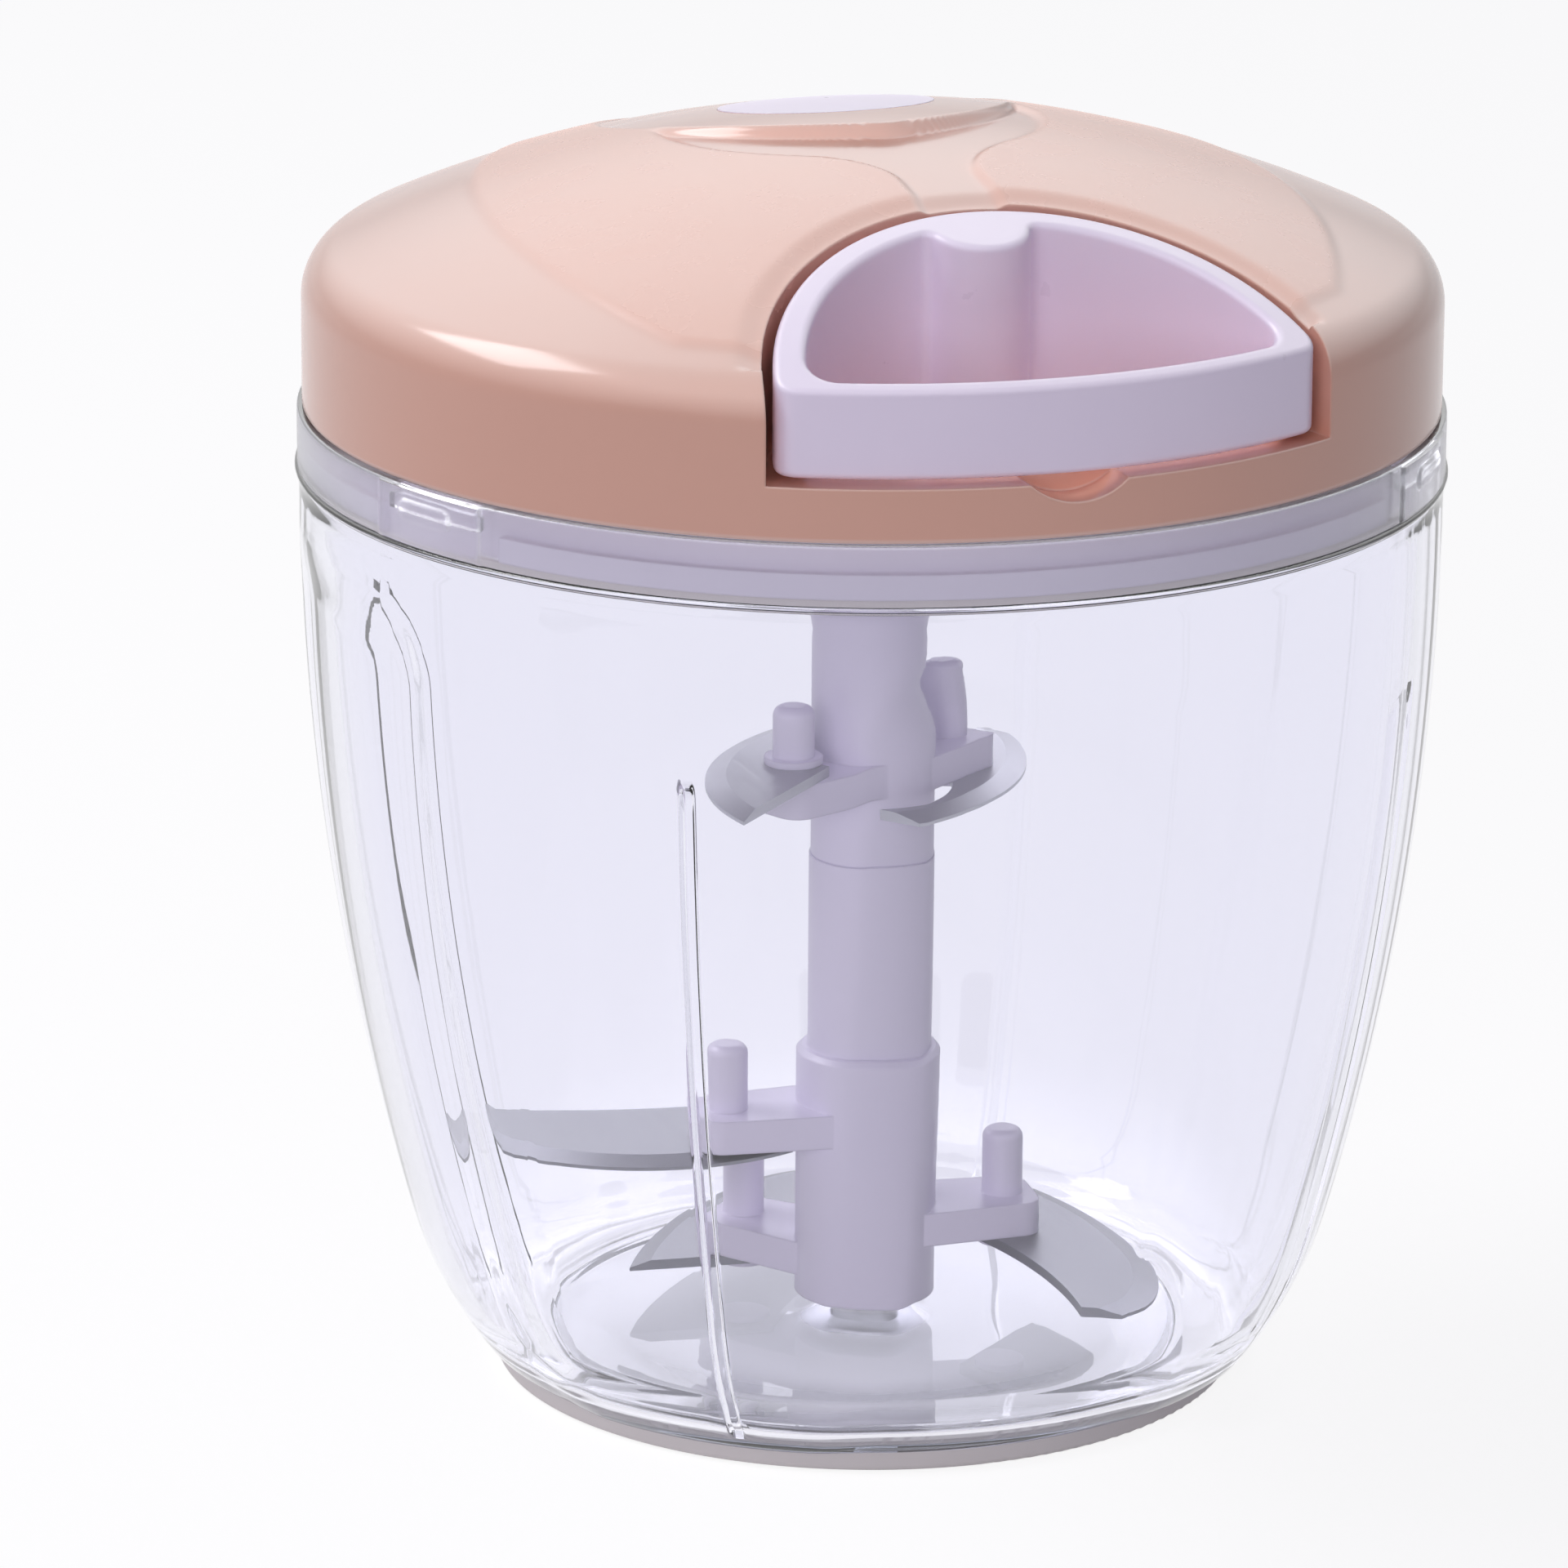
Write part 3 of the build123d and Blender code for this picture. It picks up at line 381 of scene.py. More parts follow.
def moulded(name, colour, roughness, grain=0.1, grain_size=0.25, edge=0.3):
    """Injection-moulded plastic: a little cloudy in colour, uneven in gloss, softly rounded at its edges."""
    material, tree, shader = new_material(name)
    where = place(tree, "ShaderNodeTexCoord").outputs["Object"]
    shader.inputs["IOR"].default_value = plastic_ior
    cloud = place(tree, "ShaderNodeTexNoise", {"Vector": where, "Scale": 45.0, "Detail": 3.0})
    tree.links.new(tinted(tree, cloud.outputs["Fac"], colour, 0.03), shader.inputs["Base Color"])
    wear = place(tree, "ShaderNodeTexNoise", {"Vector": where, "Scale": 160.0, "Detail": 4.0})
    gloss = spread(tree, wear.outputs["Fac"], roughness * 0.8, roughness * 1.2)
    tree.links.new(gloss, shader.inputs["Roughness"])
    grit = place(tree, "ShaderNodeTexNoise", {"Vector": where, "Scale": 1 / (grain_size * mm), "Detail": 2.0})
    soft_edge = place(tree, "ShaderNodeBevel", {"Radius": edge * mm}, samples=6)
    bump = place(
        tree,
        "ShaderNodeBump",
        {
            "Height": grit.outputs["Fac"],
            "Normal": soft_edge.outputs["Normal"],
            "Strength": grain,
            "Distance": 0.05 * mm,
        },
    )
    tree.links.new(bump.outputs["Normal"], shader.inputs["Normal"])
    return material


def lid_moulding(name, colour):
    """Gloss plastic with fine-grained matt fields, mould lines in the skirt and a painted highlight at its
    foot: a paler band in place of the light on its bottom edge.
    """
    material, tree, shader = new_material(name)
    where = place(tree, "ShaderNodeTexCoord").outputs["Object"]
    shader.inputs["IOR"].default_value = plastic_ior
    matt = place(tree, "ShaderNodeAttribute", attribute_name="petal").outputs["Fac"]
    axes = place(tree, "ShaderNodeSeparateXYZ", {"Vector": where})
    cloud = place(tree, "ShaderNodeTexNoise", {"Vector": where, "Scale": 40.0, "Detail": 3.0})
    body = tinted(tree, cloud.outputs["Fac"], colour, 0.025)
    # Painted highlight: the skirt's lowest part is mixed towards a pale pink, standing in for the light its
    # bottom edge catches.
    foot_highlight = place(
        tree,
        "ShaderNodeMapRange",
        {
            "Value": axes.outputs["Z"],
            "From Min": foot_highlight_top * mm,
            "From Max": foot_highlight_bottom * mm,
            "To Max": foot_highlight_share,
        },
    )
    pale = place(tree, "ShaderNodeMix", {"Factor": foot_highlight.outputs["Result"]}, data_type="RGBA")
    tree.links.new(body, pale.inputs["A"])
    pale.inputs["B"].default_value = (0.92, 0.86, 0.84, 1)
    tree.links.new(pale.outputs["Result"], shader.inputs["Base Color"])
    wear = place(tree, "ShaderNodeTexNoise", {"Vector": where, "Scale": 140.0, "Detail": 4.0})
    polish = spread(tree, wear.outputs["Fac"], 0.12, 0.2)
    tree.links.new(work(tree, "MULTIPLY_ADD", matt, matt_roughness, polish), shader.inputs["Roughness"])
    grit = place(tree, "ShaderNodeTexNoise", {"Vector": where, "Scale": 3200.0, "Detail": 2.0})
    dents = work(tree, "MULTIPLY", grit.outputs["Fac"], spread(tree, matt, 0.06, 0.3))
    aside = work(tree, "SUBTRACT", work(tree, "ABSOLUTE", axes.outputs["X"]), mould_line_place * mm)
    line = work(tree, "LESS_THAN", work(tree, "ABSOLUTE", aside), mould_line_half_width * mm)
    low = work(tree, "LESS_THAN", axes.outputs["Z"], pocket_floor * mm)
    front = work(tree, "LESS_THAN", axes.outputs["Y"], mould_line_front * mm)
    mould_line = work(tree, "MULTIPLY", work(tree, "MULTIPLY", line, low), front)
    soft_edge = place(tree, "ShaderNodeBevel", {"Radius": 0.45 * mm}, samples=8)
    bump = place(
        tree,
        "ShaderNodeBump",
        {
            "Height": work(tree, "ADD", dents, mould_line),
            "Normal": soft_edge.outputs["Normal"],
            "Strength": 0.55,
            "Distance": 0.05 * mm,
        },
    )
    tree.links.new(bump.outputs["Normal"], shader.inputs["Normal"])
    return material


def clear_moulding(name, frost=0.0, cloud=0.0):
    """Clear plastic, faintly blue where it is thick, with an etched collar and a frost all over if asked."""
    material, tree, shader = new_material(name)
    where = place(tree, "ShaderNodeTexCoord").outputs["Object"]
    shader.inputs["Base Color"].default_value = (0.925, 0.92, 0.975, 1)
    shader.inputs["Transmission Weight"].default_value = 1 - cloud
    shader.inputs["IOR"].default_value = 1.5
    haze = place(tree, "ShaderNodeTexNoise", {"Vector": where, "Scale": 70.0, "Detail": 3.0})
    gloss = spread(tree, haze.outputs["Fac"], frost, frost + 0.03)
    height = place(tree, "ShaderNodeSeparateXYZ", {"Vector": where}).outputs["Z"]
    above = work(tree, "GREATER_THAN", height, bead_top * mm)
    below = work(tree, "LESS_THAN", height, (collar_top - edge_round) * mm)
    etched = work(tree, "MULTIPLY", work(tree, "MULTIPLY", above, below), collar_frost)
    tree.links.new(work(tree, "ADD", gloss, etched), shader.inputs["Roughness"])
    flow = place(tree, "ShaderNodeTexNoise", {"Vector": where, "Scale": 28.0, "Detail": 1.0})
    ripple = place(
        tree, "ShaderNodeBump", {"Height": flow.outputs["Fac"], "Strength": 0.05, "Distance": 0.4 * mm}
    )
    tree.links.new(ripple.outputs["Normal"], shader.inputs["Normal"])
    body = place(tree, "ShaderNodeVolumeAbsorption", {"Color": (0.80, 0.83, 0.92, 1), "Density": 30.0})
    output = next(node for node in tree.nodes if node.type == "OUTPUT_MATERIAL")
    tree.links.new(body.outputs["Volume"], output.inputs["Volume"])
    return material


def steel(name, colour, roughness, stretch):
    """Ground steel: fine scratches along one direction."""
    material, tree, shader = new_material(name)
    where = place(tree, "ShaderNodeTexCoord").outputs["Object"]
    turned = place(tree, "ShaderNodeMapping", {"Vector": where, "Scale": stretch})
    along = turned.outputs["Vector"]
    lines = place(tree, "ShaderNodeTexNoise", {"Vector": along, "Scale": 900.0, "Detail": 5.0})
    shader.inputs["Metallic"].default_value = 1.0
    tree.links.new(tinted(tree, lines.outputs["Fac"], colour, 0.06), shader.inputs["Base Color"])
    gloss = spread(tree, lines.outputs["Fac"], roughness * 0.8, roughness * 1.2)
    tree.links.new(gloss, shader.inputs["Roughness"])
    bump = place(
        tree, "ShaderNodeBump", {"Height": lines.outputs["Fac"], "Strength": 0.04, "Distance": 0.02 * mm}
    )
    tree.links.new(bump.outputs["Normal"], shader.inputs["Normal"])
    return material


def braid(name, colour):
    """Braided cord: two sets of slanting strands, one over the other."""
    material, tree, shader = new_material(name)
    where = place(tree, "ShaderNodeTexCoord").outputs["Object"]
    strands = []
    for slant in (-35, 35):
        turn = (radians(20), 0, radians(slant))
        along = place(tree, "ShaderNodeMapping", {"Vector": where, "Rotation": turn}).outputs["Vector"]
        wave = place(tree, "ShaderNodeTexWave", {"Vector": along, "Scale": 420.0, "Distortion": 0.8})
        strands.append(wave.outputs["Fac"])
    weave = work(tree, "MAXIMUM", *strands)
    tree.links.new(tinted(tree, weave, colour, 0.12), shader.inputs["Base Color"])
    tree.links.new(spread(tree, weave, 0.9, 0.7), shader.inputs["Roughness"])
    bump = place(tree, "ShaderNodeBump", {"Height": weave, "Strength": 0.7, "Distance": 0.12 * mm})
    tree.links.new(bump.outputs["Normal"], shader.inputs["Normal"])
    return material


peach = lid_moulding("peach_plastic", (0.75, 0.405, 0.31))
white = moulded("white_plastic", (0.90, 0.81, 1.0), 0.3, edge=0.4)
hub_white = moulded("hub_white_plastic", (0.89, 0.845, 1.0), 0.35, edge=0.4)
inner_white = moulded("inner_white_plastic", (0.80, 0.76, 0.88), 0.4)
waxy = moulded("waxy_bearing_plastic", (0.80, 0.79, 0.74), 0.5)
soft_grey = moulded("soft_grey_ring", (0.70, 0.66, 0.66), 0.55)
clear = clear_moulding("clear_plastic")
clear_underside = clear_moulding("clear_underside", underside_frost, underside_cloud)
blade_steel = steel("ground_blade_steel", (0.235, 0.235, 0.255), 0.4, (1.0, 0.06, 1.0))
# Painted light: a lighter copy of the ground blade steel, to make up for the shade the lid casts on the upper
# blades.
shade_lightened_steel = steel("shade_lightened_blade_steel", (0.45, 0.45, 0.48), 0.4, (1.0, 0.06, 1.0))
spring_steel = steel("blued_spring_steel", (0.28, 0.30, 0.36), 0.3, (1.0, 1.0, 0.05))
screw_steel = steel("plated_screw_steel", (0.66, 0.66, 0.65), 0.25, (1.0, 1.0, 0.2))
cord_braid = braid("braided_cord", (0.84, 0.84, 0.80))

finishes = {
    "bowl": clear,
    "lid_cover": peach,
    "top_disc": white,
    "pull_handle": white,
    "lower_blade_hub": hub_white,
    "upper_blade_hub": hub_white,
    "lid_base": inner_white,
    "cord_reel": waxy,
    "spring_cap": waxy,
    "spring_arbor": waxy,
    "drive_coupling": waxy,
    "thrust_washer": waxy,
    "foot_ring": soft_grey,
    "seal_ring": soft_grey,
    "mid_blade": blade_steel,
    "low_blade_a": blade_steel,
    "low_blade_b": blade_steel,
    # The upper blades take the lighter steel copy, painted light against the lid's shade.
    "upper_blade_a": shade_lightened_steel,
    "upper_blade_b": shade_lightened_steel,
    "spiral_spring": spring_steel,
    "pivot_pin": screw_steel,
    "lid_screws": screw_steel,
    "arbor_screw": screw_steel,
    "coupling_screws": screw_steel,
    "cord_eyelet": screw_steel,
    "cord_winding": cord_braid,
    "cord_lead": cord_braid,
    "cord_knot": cord_braid,
}
for node_name, finish in finishes.items():
    node_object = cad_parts[node_name]
    node_object.data.materials.clear()
    node_object.data.materials.append(finish)


# Bowl

def wall_radius(height, inset):
    """Radius of the bowl's wall line at a height, moved towards the axis by inset."""
    centre, radius = circle_through(wall_top, waist, knee)
    if height >= knee[1]:
        return centre[0] + sqrt(radius**2 - (height - centre[1]) ** 2) - inset
    slope = atan2(knee[1] - centre[1], knee[0] - centre[0])
    chord = (heel[0] - knee[0], heel[1] - knee[1])
    outward = (cos(slope), sin(slope))
    reach = (chord[0] ** 2 + chord[1] ** 2) / (2 * -(chord[0] * outward[0] + chord[1] * outward[1]))
    middle = (knee[0] - reach * outward[0], knee[1] - reach * outward[1])
    return middle[0] + sqrt(reach**2 - (height - middle[1]) ** 2) - inset


# Heights of the wall's rows of faces, closer at the heel and at the flutes' upper edge
bowl_rows = [3.4, 4.6, 5.9, 7.3, 8.8, 10.4, 12.0, 13.8, 15.7, 17.8]
bowl_rows += [20.0 + 3.0 * step for step in range(22)]
bowl_rows += [85.0 + 0.7 * step for step in range(24)]
bowl_rows += [102.5, 104.2, 105.9]
bump_rows = [-1.5, -1.25, -1.0, -0.6, 0, 0.6, 1.0, 1.25, 1.5]
inner_rows = [height for height in bowl_rows if height > floor_top + floor_corner]
inner_points = [(wall_radius(height, bowl_wall), height) for height in reversed(inner_rows)]
corner_radius = wall_radius(floor_top + floor_corner, bowl_wall) - floor_corner - floor_corner_lean

bowl_profile = [(0, floor_bottom), (20, floor_bottom), (foot_seat_radius - edge_round, floor_bottom)]
bowl_profile += arc((foot_seat_radius - edge_round, floor_bottom + edge_round), edge_round, -45, 0, 2)
bowl_profile += [(foot_seat_radius, heel[1] - small_chamfer), (foot_seat_radius + small_chamfer, heel[1])]
bowl_profile += [(heel[0] - 0.8, heel[1]), (heel[0] - 0.25, heel[1] + small_chamfer)]
bowl_profile += [(wall_radius(height, 0), height) for height in bowl_rows]
bowl_profile += [(wall_top[0], wall_top[1] - edge_round)]
bowl_profile += arc((bead_radius - edge_round, wall_top[1] + edge_round), edge_round, -70, 70, 6)
bowl_profile += [(collar_radius + 0.05, bead_top), (collar_radius, bead_top + 0.4)]
bowl_profile += [(collar_radius, bump_middle + row) for row in bump_rows]
bowl_profile += [(collar_radius, collar_top - 2 * edge_round)]
bowl_profile += arc((collar_radius - edge_round, collar_top - edge_round), edge_round, 0, 90, 4)
bowl_profile += arc((collar_bore + edge_round, collar_top - edge_round), edge_round, 90, 180, 4)
bowl_profile += [(collar_bore, hook_top + hook_edge), (collar_bore, hook_top)]
bowl_profile += [(collar_bore, hook_bottom), (collar_bore, hook_bottom - hook_edge)]
bowl_profile += [(collar_bore, wall_top[1] + edge_round)]
bowl_profile += [(collar_bore - edge_round, wall_top[1]), (wall_top[0] - bowl_wall + edge_round, wall_top[1])]
bowl_profile += inner_points
bowl_profile += arc((corner_radius, floor_top + floor_corner), floor_corner, -10, -90, 10)
for ring in reversed(floor_rings):
    ring_top = floor_top + floor_ring_rise
    bowl_profile += [(ring + floor_ring_half_foot, floor_top), (ring + floor_ring_half_top, ring_top)]
    bowl_profile += [(ring - floor_ring_half_top, ring_top), (ring - floor_ring_half_foot, floor_top)]
bowl_profile += [(30, floor_top), (18, floor_top)]
for step in range(pin_boss_rows + 1):
    rise = smooth_step(0, pin_boss_rows, step) * (pin_boss_top - floor_top)
    bowl_profile.append((pin_boss_radius * (pin_boss_spread - step / pin_boss_rows), floor_top + rise))
bowl_profile += [(0, pin_boss_top)]

# Columns of faces round the bowl, in degrees: wide ones, and finer ones in zones of a half width
wide_step = 3.0
flute_edge_angle = 20.25
flute_edge_zone = 6.25
flute_edge_step = 0.8
rib_zone = 1.3
rib_step = 0.19
lock_edge_angles = (7.1, 3.4)  # sides of the pads and hooks, and ends of the bumps
lock_zone = 1.0
lock_step = 0.25
hair = 0.01  # two columns closer than this are one
fine_zones = []  # middle, half width and step
for turn in (0, 90, 180, 270, 360):
    for side in (-1, 1):
        fine_zones.append((turn + side * flute_edge_angle, flute_edge_zone, flute_edge_step))
    fine_zones.append((turn + rib_angle, rib_zone, rib_step))
for lock in lock_angles:
    for side in (-1, 1):
        for edge_angle in lock_edge_angles:
            fine_zones.append((lock % 360 + side * edge_angle, lock_zone, lock_step))


def fine_spans():
    """Spans of (degrees, steps) once round the bowl, closer at flute edges, ribs and locks."""
    spans = []
    turn = 0.0
    while turn < 360 - hair:
        step = min(wide_step, 360 - turn)
        for middle, half, fine in fine_zones:
            ahead = middle - half - turn
            if ahead <= hair and turn < middle + half - hair:
                step = min(step, fine)
            elif hair < ahead < step:
                step = ahead
        if spans and abs(spans[-1][0] / spans[-1][1] - step) < hair / 10:
            spans[-1] = (spans[-1][0] + step, spans[-1][1] + 1)
        else:
            spans.append((step, 1))
        turn += step
    return spans


def flute_weight(across, out, height):
    """How far a place on the wall lies in the flute that faces out."""
    if out < flute_least_out:
        return 0.0
    beside = abs(across) - (flute_half_width - flute_corner)
    above = height - (flute_top - flute_corner)
    distance = hypot(max(beside, 0), max(above, 0)) + min(max(beside, above), 0) - flute_corner
    on_wall = 1.0
    if height < flute_foot_height:
        on_wall = smooth_step(flute_foot_inner, flute_foot_outer, hypot(across, out))
    return on_wall * (1 - smooth_step(-flute_soft, flute_soft, distance))


def rib_weight(x, y, z):
    """How far a place on the inner wall lies in one of the four ribs."""
    inner = wall_radius(max(z, heel[1]), bowl_wall)
    if not floor_top < z < rib_zone_top or abs(hypot(x, y) - inner) > rib_zone_depth:
        return 0.0
    turn = radians(rib_angle)
    aside = min(abs(x * sin(turn) - y * cos(turn)), abs(x * cos(turn) + y * sin(turn)))
    across = 1 - smooth_step(rib_half_width - rib_soft, rib_half_width + rib_soft, aside)
    return across * (1 - smooth_step(rib_top - rib_taper, rib_top, z))


def lock_turn(x, y):
    """Angle from the nearest lock's direction."""
    here = degrees(atan2(y, x))
    return min(abs((here - lock + 180) % 360 - 180) for lock in lock_angles)


def on_collar_face(x, y, z):
    """True on the upright outer face of the collar."""
    return hypot(x, y) > collar_radius - 0.05 and bead_top + 0.3 < z < collar_top - edge_round


def pad_weight(x, y, z):
    """How far a place on the collar lies in a lock pad."""
    if not on_collar_face(x, y, z):
        return 0.0
    return 1 - smooth_step(pad_half_angle - lock_soft, pad_half_angle + lock_soft, lock_turn(x, y))


def bump_weight(x, y, z):
    """How far a place on the collar lies in the oblong bump of a lock."""
    if not on_collar_face(x, y, z):
        return 0.0
    along = radians(lock_turn(x, y)) * collar_radius - (bump_half_length - bump_half_height)
    distance = hypot(max(along, 0), z - bump_middle) - bump_half_height
    return 1 - smooth_step(-lock_soft, lock_soft, distance)


def hook_weight(x, y, z):
    """1 on the inner face of the collar where a hook stands out."""
    inside = abs(hypot(x, y) - collar_bore) < 0.1 and hook_bottom - 0.01 < z < hook_top + 0.01
    return 1.0 if inside and lock_turn(x, y) < hook_half_angle else 0.0


bowl_shell = draw_profile("bowl_shell", bowl_profile)
spin_profile(bowl_shell, fine_spans())
reliefs = [
    ("ribs", "NORMAL", rib_height, rib_weight),
    ("pads", "NORMAL", pad_proud, pad_weight),
    ("bumps", "NORMAL", bump_proud, bump_weight),
    ("hooks", "NORMAL", hook_depth, hook_weight),
    ("flute_right", "X", -flute_depth, lambda x, y, z: flute_weight(y, x, z)),
    ("flute_left", "X", flute_depth, lambda x, y, z: flute_weight(-y, -x, z)),
    ("flute_back", "Y", -flute_depth, lambda x, y, z: flute_weight(-x, y, z)),
    ("flute_front", "Y", flute_depth, lambda x, y, z: flute_weight(x, -y, z)),
]
for relief_name, direction, amount, rule in reliefs:
    weigh(bowl_shell, relief_name, rule)
for relief_name, direction, amount, rule in reliefs:
    press(bowl_shell, relief_name, direction, amount)
smooth(bowl_shell, 40)
bowl_shell.data.materials.append(clear)
bowl_shell.data.materials.append(clear_underside)
for face in bowl_shell.data.polygons:
    if face.center.z < underside_top * mm:
        face.material_index = 1
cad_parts["foot_ring"].visible_transmission = False
bowl_shell.visible_shadow = False
bowl_shell.visible_diffuse = False
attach(bowl_shell, "bowl")
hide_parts("bowl")


# Lid cover

dome_centre = lid_crown - dome_radius


def dome_height(radius):
    """Height of the plain dome at a distance from the axis."""
    return dome_centre + sqrt(dome_radius**2 - radius**2)


def domed_profile(inset, bottom, ring_step):
    """Half section of the lid's bulk, moved inwards by inset, from the axis at the bottom to the crown."""
    reach = lid_radius - inset
    ball = dome_radius - inset
    bend = shoulder - inset
    middle = (reach - bend, dome_centre + sqrt((ball - bend) ** 2 - (reach - bend) ** 2))
    turn = degrees(atan2(middle[1] - dome_centre, middle[0]))
    points = [(0, bottom), (reach / 2, bottom), (reach - lid_edge, bottom)]
    points += arc((reach - lid_edge, bottom + lid_edge), lid_edge, -60, 0, 3)
    points += [(reach, bottom + rise) for rise in skirt_rows]
    points += arc(middle, bend, 0, turn, shoulder_rows)
    last = ball * cos(radians(turn))
    rings = round(last / ring_step)
    for ring in range(1, rings + 1):
        radius = last * (1 - ring / rings)
        points.append((radius, dome_centre + sqrt(ball**2 - radius**2)))
    return points


def petal_distance(x, y):
    """Distance in plan from the outline of the nearer petal, less than 0 inside it."""
    across = abs(x)
    outer = hypot(across + petal_arc_offset, y - petal_arc_back) - petal_arc_radius
    rim = hypot(x, y) - petal_rim
    lane = lane_half_width - across + petal_corner
    around = lane_round_radius - hypot(x, y - lane_round_back) + petal_corner
    inner = min(max(lane, around), 0) + hypot(max(lane, 0), max(around, 0)) - petal_corner
    return max(outer, rim, inner)


def plateau_share(x, y):
    """1 on the plateau and 0 off it, with a soft edge."""
    across = hypot(x, plateau_blunt)
    distance = hypot(across + plateau_arc_offset, y - plateau_back) - plateau_arc_radius
    return 1 - smooth_step(-plateau_soft, plateau_soft, distance)


def on_dome(x, y, z):
    """True on the lid's top face."""
    radius = hypot(x, y)
    return radius < dome_reach and z > dome_height(radius) - dome_slack


def petal_share(x, y):
    """1 on the petals and 0 off them, with a soft edge."""
    return (1 - smooth_step(-petal_soft, petal_soft, petal_distance(x, y))) * (1 - plateau_share(x, y))


def petal_weight(x, y, z):
    """Rise of the petals, as a share of their rise at the crown."""
    if not on_dome(x, y, z):
        return 0.0
    rise = petal_crown_rise - petal_fall * (hypot(x, y) / lid_radius) ** 2
    return petal_share(x, y) * max(rise, petal_least_rise) / petal_crown_rise


def plateau_weight(x, y, z):
    """Rise of the plateau, as a share of the most."""
    if not on_dome(x, y, z):
        return 0.0
    ball = dome_radius + plateau_rise
    height = dome_centre + sqrt(ball**2 - x**2 - (y + plateau_forward) ** 2)
    return plateau_share(x, y) * max(height - dome_height(hypot(x, y)), 0) / plateau_most


def lip_weight(x, y, z):
    """How far the edge of the handle's pocket is rounded down."""
    if not on_dome(x, y, z):
        return 0.0
    return 1 - smooth_step(0, lip_width, hypot(x, y - pocket_centre) - pocket_radius)


lid_shell = draw_profile("lid_shell", domed_profile(0, lid_bottom, dome_ring_step))
spin_profile(lid_shell, [(360, lid_columns)])
weigh(lid_shell, "petals", petal_weight)
weigh(lid_shell, "plateau", plateau_weight)
weigh(lid_shell, "lip", lip_weight)
press(lid_shell, "petals", "Z", petal_crown_rise)
press(lid_shell, "plateau", "Z", plateau_most)
press(lid_shell, "lip", "Z", -lip_drop)

lid_hollow = draw_profile("lid_hollow", domed_profile(lid_wall, lid_bottom - cut_below, hollow_ring_step))
spin_profile(lid_hollow, [(360, hollow_columns)])
pocket_block_bottom = pocket_floor - pocket_wall
pocket_block_radius = pocket_radius + pocket_wall
cut(lid_hollow, upright_cylinder(pocket_block_radius, pocket_block_bottom, cut_top, (0, pocket_centre)))
scoop_block_back = scoop_back + scoop_wall
cut(lid_hollow, level_cylinder(scoop_radius + scoop_wall, scoop_axis_height, scoop_block_back, cut_front))
cut(lid_shell, lid_hollow)
cut(lid_shell, upright_cylinder(pocket_radius, pocket_floor, cut_top, (0, pocket_centre)))
cut(lid_shell, level_cylinder(scoop_radius, scoop_axis_height, scoop_back, cut_front))
cut(lid_shell, level_cylinder(eyelet_hole_radius, cord_height, eyelet_cut_back, eyelet_cut_front))

bpy.ops.object.select_all(action="DESELECT")
bpy.ops.mesh.primitive_cube_add(size=1)
rebate = bpy.context.object
bpy.ops.transform.resize(value=(2 * rebate_half_width * mm, rebate_depth * mm, rebate_height * mm))
bpy.ops.object.transform_apply(location=False, rotation=False, scale=True)
rebate_middle = (0, (rebate_front - rebate_depth / 2) * mm, (pocket_floor + rebate_height / 2) * mm)
bpy.ops.transform.translate(value=rebate_middle)
cut(lid_shell, rebate)

disc_seat = upright_cylinder(disc_radius, disc_cut_bottom, disc_cut_top, (0, disc_back))
seat_ball = dome_radius + plateau_rise
seat_rise = sqrt(seat_ball**2 - (disc_back + plateau_forward) ** 2)
bpy.ops.object.mode_set(mode="EDIT")
bpy.ops.mesh.select_all(action="SELECT")
bpy.ops.mesh.bisect(
    plane_co=(0, disc_back * mm, (dome_centre + seat_rise - disc_seat_depth) * mm),
    plane_no=(0, disc_back + plateau_forward, seat_rise),
    use_fill=True,
    clear_inner=True,
)
bpy.ops.object.mode_set(mode="OBJECT")
cut(lid_shell, disc_seat)

smooth(lid_shell, 32)


def matt_share(x, y, z):
    """1 on the petals' grained top face and 0 off it."""
    radius = hypot(x, y)
    if radius >= lid_radius or z <= dome_height(radius) - lip_drop - dome_slack / 2:
        return 0.0
    return petal_share(x, y)


petal_mask = lid_shell.data.attributes.new("petal", "FLOAT", "POINT")
matt_shares = [matt_share(*(vertex.co / mm)) for vertex in lid_shell.data.vertices]
petal_mask.data.foreach_set("value", matt_shares)
lid_shell.data.materials.append(peach)
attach(lid_shell, "lid")
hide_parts("lid_cover")


# Cord

def cord_tube(name, points):
    """Round cord along a smooth spline whose control points are given in millimetres."""
    data = bpy.data.curves.new(name, "CURVE")
    data.dimensions = "3D"
    data.resolution_u = 8
    spline = data.splines.new("NURBS")
    spline.points.add(len(points) - 1)
    for control, point in zip(spline.points, points):
        control.co = (*[length * mm for length in point], 1)
    spline.order_u = 3
    spline.use_endpoint_u = True
    data.bevel_depth = cord_radius * mm
    data.bevel_resolution = 5
    data.use_fill_caps = True
    line = bpy.data.objects.new(name + "_line", data)
    bpy.context.scene.collection.objects.link(line)
    bpy.context.view_layer.update()
    mesh = bpy.data.meshes.new_from_object(line.evaluated_get(bpy.context.evaluated_depsgraph_get()))
    bpy.data.objects.remove(line)
    piece = bpy.data.objects.new(name, mesh)
    bpy.context.scene.collection.objects.link(piece)
    mesh.materials.append(cord_braid)
    smooth(piece, 50)
    return piece


winding_end = winding_radius + winding_pitch * winding_half_turns / 2
leave_angle = -90 - degrees(atan2(sqrt(bend_distance**2 - winding_end**2), winding_end))
winding_route = []
for step in range(winding_half_turns * winding_points + 1):
    turn = 180 * step / winding_points
    radius = winding_radius + winding_pitch * turn / 360
    heading = radians(leave_angle - 180 * winding_half_turns + turn)
    winding_route.append((radius * cos(heading), radius * sin(heading), cord_height))
cord_coil = cord_tube("cord_coil", winding_route)
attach(cord_coil, "reel")
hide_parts("cord_winding")

